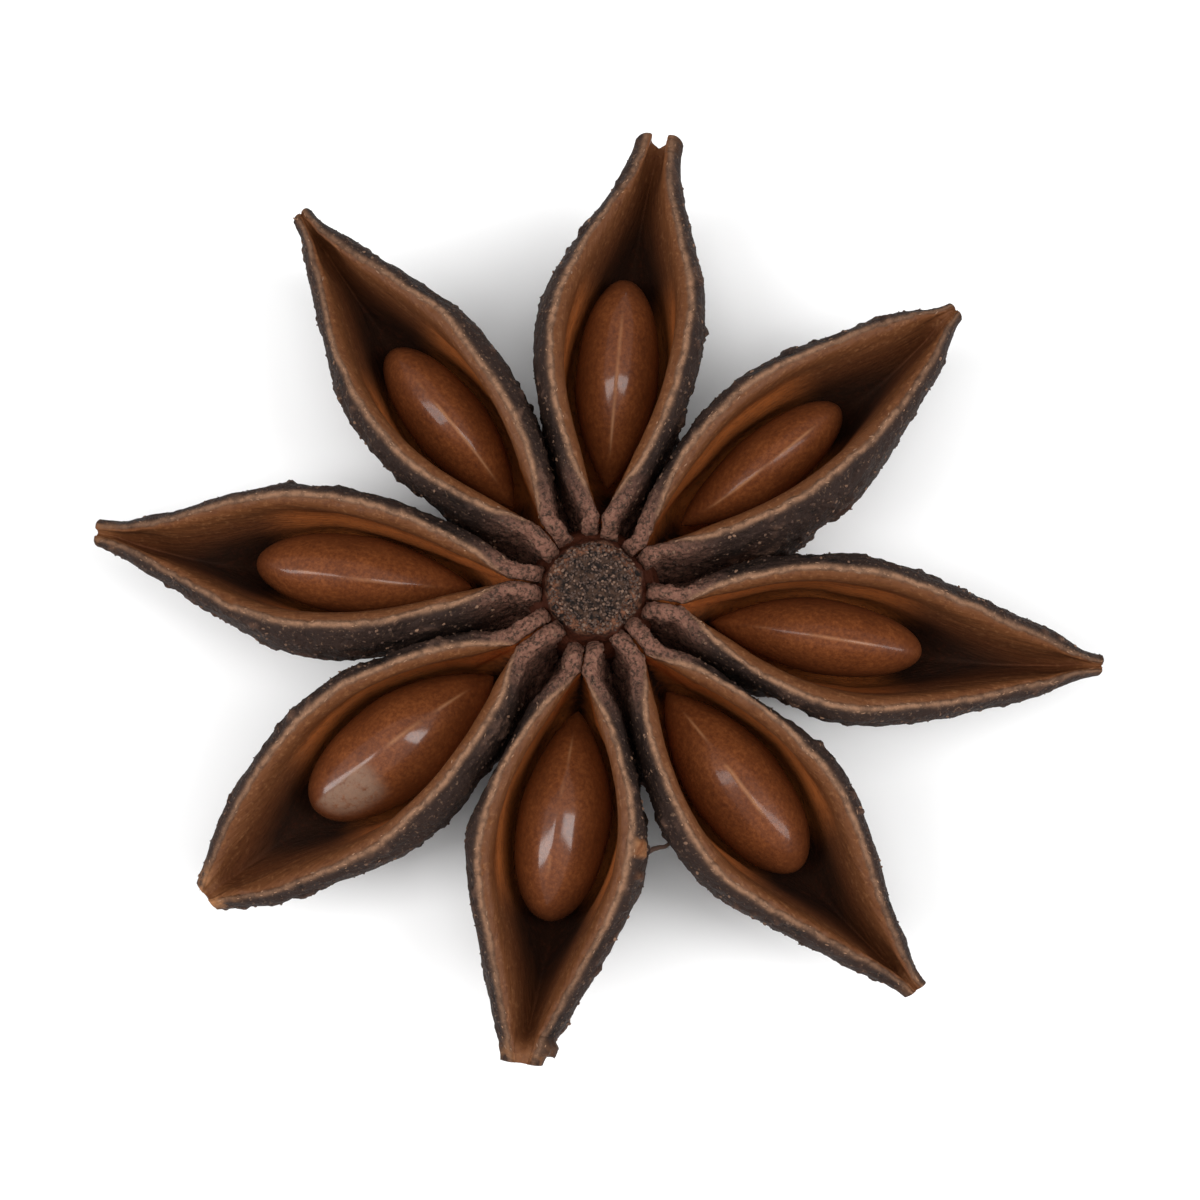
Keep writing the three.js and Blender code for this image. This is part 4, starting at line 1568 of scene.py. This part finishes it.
@dataclass(frozen=True)
class Fibre:
    """A torn fibre between two carpels: a thin bent thread.

    Attributes:
        start: Where it begins, in millimetres.
        middle: The point that it bends towards.
        end: Where it ends.
        radius: Half its thickness where it begins.
        thinning: How much of that is gone at its end, below 0.
        wander: How far it strays from its curve.
        turns: How fast it strays, in turns a metre.
        shade: How dark it is, from 0 to 1.
        steps: Its points lengthwise.
        sides: Its points round.
    """

    start: Triple = (1.5, -8.85, 7.0)
    middle: Triple = (2.1, -8.9, 7.0)
    end: Triple = (2.7, -8.45, 6.7)
    radius: float = 0.11
    thinning: float = -0.5
    wander: float = 0.22
    turns: float = 2600.0
    shade: float = 0.45
    steps: int = 18
    sides: int = 8

    def build(self, finish: Material) -> Piece:
        """Grows the thread along its curve."""
        form = FormTree("fibre_form")
        ends = {"Start": self.start, "Middle": self.middle, "End": self.end}
        curve = {"Resolution": self.steps, **{name: form.input(name, "Vector") for name in ends}}
        line = form.add("CurveQuadraticBezier", curve).outputs["Curve"]
        clouds = form.add("ShaderNodeTexNoise", {"Scale": self.turns, "Detail": 2.0}, noise_dimensions="3D")
        centring = {0: clouds.outputs["Color"], 1: (0.5,) * 3}
        centred = form.add("ShaderNodeVectorMath", centring, operation="SUBTRACT").outputs[0]
        offset = form.add("ShaderNodeVectorMath", {0: centred, "Scale": self.wander * MM}, operation="SCALE")
        bent = form.add("SetPosition", {"Geometry": line, "Offset": offset.outputs[0]})
        along = form.times(form.add("SplineParameter").outputs["Factor"], self.thinning)
        circle = form.add("CurvePrimitiveCircle", {"Resolution": self.sides, "Radius": 1.0})
        tube = {
            "Curve": bent.outputs[0],
            "Profile Curve": circle.outputs["Curve"],
            "Scale": form.scaled(along, self.radius * MM, self.radius * MM),
            "Fill Caps": True,
        }
        form.finish(form.add("CurveToMesh", tube).outputs["Mesh"])
        values = {name: tuple(MM * part for part in place) for name, place in ends.items()}
        made = form.grow("fibre", bpy.data.meshes.new("fibre"), {**values, "Material": finish})
        set_attributes(made, {"shade": np.full(len(made.data.vertices), self.shade)})
        return made


# ---------------------------------------------------------------- the column


@dataclass(frozen=True)
class Column:
    """The short column that the carpels grow from, with its disc above and its scar below.

    Attributes:
        form: What it shares with the carpels.
        waist: The height that parts its top from its underside, in millimetres like the rest.
        disc_radius: The flat middle of the disc.
        ring_radius: The ragged ring round it.
        moat_radius: The clefts round that.
        moat_depth: How deep they are.
        radius: The column itself.
        scar_radius: The scar on the underside.
        grains: How far the disc's grains stand out.
        lumps: How uneven the whole column is.
        knobs: How far the ring's knobs stand out.
        sides: Its points round.
    """

    form: PodForm = field(default_factory=PodForm)
    waist: float = 4.0
    disc_radius: float = 1.3
    ring_radius: float = 1.58
    moat_radius: float = 1.8
    moat_depth: float = 0.85
    radius: float = 2.25
    scar_radius: float = 1.0
    grains: float = 0.07
    lumps: float = 0.05
    knobs: float = 0.2
    sides: int = 220

    @property
    def middle_height(self) -> float:
        """Height of the disc's middle, which is slightly dished."""
        return self.form.face - 0.04

    def outline(self) -> Array:
        """Radius and height from the scar's middle, up the side and in to the disc's middle."""
        # Each corner's radius and height, and how many steps there are to the next one.
        face, disc, ring, radius = self.form.face, self.disc_radius, self.ring_radius, self.radius
        scar, around = self.scar_radius, self.form.scar_ring
        corners = (
            # The scar and the ring round it.
            (0.0, 0.0, 14),
            (scar, 0.0, 4),
            (scar + 0.08, 0.2, 4),
            (scar + 0.26, 0.22, 4),
            (scar + 0.36, 0.06, 4),
            (around, 0.12, 6),
            # The side, hidden between the carpels.
            (around + 0.08, 0.5, 8),
            (around + 0.1, self.form.keel_root + 0.4, 8),
            (radius - 0.2, 0.3 * face, 8),
            (radius, 0.6 * face, 6),
            (radius, face - 1.4, 5),
            (radius - 0.2, face - 1.0, 6),
            # The moat, the ragged ring and the disc.
            (self.moat_radius, face - self.moat_depth, 8),
            (ring + 0.08, face - 0.5, 6),
            (ring - 0.02, face - 0.14, 6),
            (ring - 0.16, face - 0.02, 8),
            (disc, face, 6),
            (disc - 0.14, face - 0.03, 12),
            (0.4 * disc, face - 0.05, 10),
            (0.0, self.middle_height, 0),
        )
        points = []
        for (r0, z0, count), (r1, z1, _) in zip(corners, corners[1:]):
            share = np.arange(count)[:, None] / count
            points.append(lerp(np.array([[r0, z0]]), np.array([[r1, z1]]), share))
        return np.concatenate(points)[1:]

    def build(self, finish: Material) -> Piece:
        """Makes the column's piece.

        Args:
            finish: The wood's material.

        Returns:
            A closed mesh object with the numbers that the finish reads.
        """
        outline = self.outline()
        turn = np.linspace(0, 2 * np.pi, self.sides, endpoint=False)
        radius, height = outline[:, 0, None], outline[:, 1, None]
        grid = np.stack([radius * np.cos(turn), radius * np.sin(turn), height + 0 * turn], -1)
        above = height > self.waist
        on_disc = clamp01((self.ring_radius + 0.1 - radius) / 0.25) * above
        rim = bell(radius - self.ring_radius, 0.22) * above
        shift = self.grains * Pattern.DISC_GRAINS.at(grid) * on_disc
        shift = shift + self.lumps * Pattern.DISC_LUMPS.at(grid)
        shift = shift + self.knobs * rim * Pattern.DISC_KNOBS.at(grid)
        shift *= (height > 0.3) | (radius > self.scar_radius + 0.1)
        moved = grid + normals_of(grid) * shift[..., None]
        moved[..., 2] = np.maximum(moved[..., 2], 0.0)
        points = np.concatenate([moved.reshape(-1, 3), [[0, 0, 0.0], [0, 0, self.middle_height]]])
        faces = grid_faces(len(outline), self.sides)
        bottom, top, last = len(points) - 2, len(points) - 1, (len(outline) - 1) * self.sides
        for side in range(self.sides):
            ahead = (side + 1) % self.sides
            faces += [(ahead, side, bottom), (last + side, last + ahead, top)]
        made = mesh_object("column", points, faces, finish)
        self.measure(made, points)
        return made

    def measure(self, made: Piece, points: Array) -> None:
        """Writes the numbers that the wood's finish reads."""
        radius, above = np.linalg.norm(points[:, :2], axis=1), points[:, 2] > self.waist
        wander = 0.16 * Pattern.DISC_EDGE.at(points)
        ring = ease((self.ring_radius + 0.1 + wander - radius) / 0.1) * above
        numbers = {
            "disc": ease((self.disc_radius - 0.04 + wander - radius) / 0.16) * above,
            "ring": ring,
            "crack": (1 - ring) * above,
            "granular": ease((self.ring_radius + 0.02 - radius) / 0.1) * above,
            "keel": np.where(above, 0.0, 0.8),
            "relief": clamp01(0.5 + 0.5 * Pattern.DISC_LUMPS.at(points)),
            "lengthwise": points,
        }
        set_attributes(made, numbers)


# ---------------------------------------------------------------- the studio


def look_back(made: Piece, aim: Vector, direction: Vector, distance: float) -> None:
    """Places a lamp or the camera at a distance from the aim, looking back at it."""
    made.location = aim + direction * distance
    made.rotation_euler = (-direction).to_track_quat("-Z", "Y").to_euler()


@dataclass(frozen=True)
class Lamp:
    """One soft lamp.

    Attributes:
        name: Which lamp.
        towards: Direction from the pod to the lamp.
        distance: How far away it is, in metres.
        size: How wide and how high it is, in metres.
        power: In watts.
        mirrored: Whether glossy things mirror it.
    """

    name: str
    towards: Triple
    distance: float
    size: tuple[float, float]
    power: float
    mirrored: bool = True

    def build(self, aim: Vector) -> None:
        """Hangs the lamp and points it at the aim."""
        data = bpy.data.lights.new(self.name, "AREA")
        data.shape, data.energy = "RECTANGLE", self.power
        data.size, data.size_y = self.size
        made = placed_object(self.name, data)
        look_back(made, aim, Vector(self.towards).normalized(), self.distance)
        made.visible_glossy = self.mirrored


@dataclass(frozen=True)
class Studio:
    """A pale floor, soft lamps and the camera.

    Attributes:
        aim: What the camera and the lamps point at, in metres.
        elevation: How far above the level plane the camera looks from, in degrees.
        lens: The camera's focal length in millimetres.
        clip: The nearest and furthest distance that it sees, in metres.
        view_width: How much it shows across, in metres.
        floor_size: Half the floor's width, in metres.
        paper: The floor's finish.
        world: How bright the surroundings are.
        lamps: The lamps.
    """

    aim: Triple = (0.0002, 0.0001, 0.0045)
    elevation: float = 81.0
    lens: float = 120.0
    clip: tuple[float, float] = (0.005, 5.0)
    view_width: float = 0.0415
    floor_size: float = 1.2
    paper: PlainFinish = PlainFinish(colour(246, 246, 246))
    world: float = 0.37
    lamps: tuple[Lamp, ...] = (
        Lamp("lamp_left", (-0.74, -0.2, 0.66), 0.42, (0.13, 0.52), 1.45),
        Lamp("lamp_right", (0.74, -0.2, 0.66), 0.42, (0.13, 0.52), 1.45),
        Lamp("lamp_top", (0.0, -0.08, 1.0), 0.6, (0.3, 0.3), 1.35, mirrored=False),
    )

    def build(self) -> Piece:
        """Sets the studio up.

        Returns:
            The floor, which isn't part of the pod.
        """
        scene = bpy.context.scene
        scene.view_settings.view_transform = "Standard"
        scene.world = bpy.data.worlds.new("studio")
        scene.world.use_nodes = True
        background = scene.world.node_tree.nodes["Background"]
        background.inputs["Color"].default_value = (1.0, 1.0, 1.0, 1.0)
        background.inputs["Strength"].default_value = self.world
        for lamp in self.lamps:
            lamp.build(Vector(self.aim))
        self.build_camera()
        corners = np.array([[-1, -1, 0], [1, -1, 0], [1, 1, 0], [-1, 1, 0]]) * self.floor_size / MM
        return mesh_object("floor", corners, [(0, 1, 2, 3)], self.paper.material("floor_paper"))

    def build_camera(self) -> None:
        """Places the camera at the pod's viewing angle."""
        data = bpy.data.cameras.new("camera")
        data.lens = self.lens
        data.clip_start, data.clip_end = self.clip
        angle = math.radians(self.elevation)
        back = Vector((0.0, -math.cos(angle), math.sin(angle)))
        made = placed_object("camera", data)
        look_back(made, Vector(self.aim), back, self.view_width * self.lens / data.sensor_width)
        bpy.context.scene.camera = made


# ---------------------------------------------------------------- the pod


# Counter-clockwise seen from above.
CARPELS = (
    Carpel("right", heading=-11.4, reach=17.6, slit=2.8, gape=2.22, peak=0.52, tip=0.16, taper=1.7,
           ogee=1.45, sway=1.0, roll=-3, bulge=(0.1, 0), droop=2.0, notch=0.3, pinch=0.45, shut=1,
           bare=0.15, seed=SeedSize(7.75, 0.2, 3.65, 1.3, 2, -6, gloss=0.3)),
    Carpel("back_right", heading=39.2, reach=16.15, slit=2.1, gape=2.04, peak=0.53, tip=0.16, taper=1.75,
           ogee=1.15, sway=0.05, roll=5, bulge=(0, 0.5), droop=1.8, notch=0.2, pinch=0.45, shut=1,
           bare=0.1, seed=SeedSize(7.5, 0.25, 3.45, 1.2, 0, -12, gloss=0.3)),
    Carpel("back", heading=84.8, reach=16.65, slit=2.25, gape=2.22, peak=0.565, tip=0.4, taper=1.95,
           ogee=2.3, sway=-0.85, roll=-0.5, bulge=(0.1, 0.1), droop=2.3, notch=0.9, pinch=0, shut=0,
           bare=0.15, seed=SeedSize(7.72, -0.1, 3.7, 1.45, gloss=0.7)),
    Carpel("back_left", heading=130.3, reach=17.0, slit=2.6, gape=2.05, peak=0.545, tip=0.16, taper=2.05,
           ogee=2.1, sway=-0.8, roll=4, bulge=(0.15, 0.2), droop=2.0, notch=0.2, pinch=0.45, shut=1,
           bare=0.1, seed=SeedSize(7.85, 0, 3.5, 1.32, -1, gloss=0.5)),
    Carpel("left", heading=174.4, reach=17.4, slit=2.65, gape=2.14, peak=0.58, tip=0.23, taper=1.95,
           ogee=2.35, sway=-0.7, roll=-2, bulge=(0.5, 0), droop=2.2, notch=0.4, pinch=0.3, shut=0.8,
           bare=0.4, seed=SeedSize(8.0, -0.25, 3.75, 1.4, -2, 14, gloss=0.5)),
    Carpel("front_left", heading=217.0, reach=16.8, slit=3.1, gape=2.43, peak=0.61, tip=0.24, taper=1.6,
           ogee=0.9, sway=0.3, roll=1, bulge=(0.5, 0), droop=2.4, notch=0.1, pinch=0.25, shut=0.6,
           bare=1, seed=SeedSize(8.15, 0, 3.85, 1.74, worn=1.0)),
    Carpel("front", heading=261.5, reach=16.2, slit=2.75, gape=2.46, peak=0.575, tip=0.32, taper=1.35,
           ogee=1.3, sway=-0.25, roll=-3.5, bulge=(0, 0), droop=2.0, notch=0.2, pinch=0.1, shut=1,
           bare=0.6, seed=SeedSize(7.5, -0.1, 3.65, 1.6, -1.5, -2),
           marks=(Mark(Side.LEFT, 8.1, 8.9, 0.08, 0.75, 0.2, 0.8),
                  Mark(Side.LEFT, 9.2, 9.6, 0.3, 1.0, 0.2, 0.3),
                  Mark(Side.LEFT, 10.3, 10.7, 0.35, 1.0, 0.18),
                  Mark(Side.LEFT, 15.1, 15.8, 0.15, 0.9, 0.3, 0.1))),
    Carpel("front_right", heading=306.7, reach=17.4, slit=2.75, gape=2.43, peak=0.56, tip=0.2, taper=1.6,
           ogee=1.8, sway=0.7, roll=0, bulge=(0, 0.2), droop=2.2, notch=0.2, pinch=0.35, shut=1,
           bare=0.2, seed=SeedSize(7.8, 0.12, 3.8, 1.62, 0, -2, gloss=0.4)),
)


class Pod:
    """The whole pod: its carpels, seeds and column."""

    # Where the random numbers of the granules and of the first carpel's crumbs start.
    GRANULE_SEED = 3
    CRUMB_SEED = 20

    def __init__(self) -> None:
        """Gives each carpel its number and the half-angles to its neighbours."""
        self.carpels = []
        for number, carpel in enumerate(CARPELS):
            ahead = (CARPELS[(number + 1) % len(CARPELS)].heading - carpel.heading) % 360
            behind = (carpel.heading - CARPELS[number - 1].heading) % 360
            sectors = (math.radians(ahead / 2), math.radians(behind / 2))
            self.carpels.append(replace(carpel, sectors=sectors, number=number))

    def build(self) -> None:
        """Makes every piece and says which solid it stands for."""
        wood, litter = WoodFinish().material("husk_wood"), LitterFinish().material("husk_litter")
        grit = LitterFinish(colour(38, 30, 28), colour(72, 54, 45), colour(112, 86, 70)).material("husk_grit")
        granules = Litter("granule_form", Strewing("granular", 95.0, 0.028, 0.055))
        crumbs = Litter(
            "crumb_form",
            Strewing("skin", 3.2, 0.025, 0.07, height=0.5),
            Strewing("rim", 14.0, 0.014, 0.028, length=4.0, pale=1.0, scatter=0.5),
        )
        column = Column().build(wood)
        self.register(column, "husk")
        self.register(granules.strew(column, "column_granules", self.GRANULE_SEED, grit), "husk")
        for carpel in self.carpels:
            husk = carpel.build(wood)
            self.register(husk, "husk")
            seed = self.CRUMB_SEED + carpel.number
            bits = crumbs.strew(husk, f"carpel_{carpel.name}_crumbs", seed, litter)
            self.register(bits, "husk")
        self.register(Fibre().build(litter), "husk")
        rule, coat = SeedForm().tree(), SeedFinish().material("seed_coat")
        for carpel in self.carpels:
            self.register(Seed(carpel).build(rule, coat), f"seed_{carpel.name}")

    def register(self, piece: Piece, node: str) -> None:
        """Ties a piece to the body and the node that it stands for."""
        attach(piece, BODY)
        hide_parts(node)
        log.info("%s: %d faces, stands for %s", piece.name, len(piece.data.polygons), node)


def main() -> None:
    """Builds the pod and its studio in order."""
    logging.basicConfig(level=logging.INFO, format="%(name)s %(message)s")
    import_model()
    floor = Studio().build()
    Pod().build()


if __name__ == "__main__":
    main()
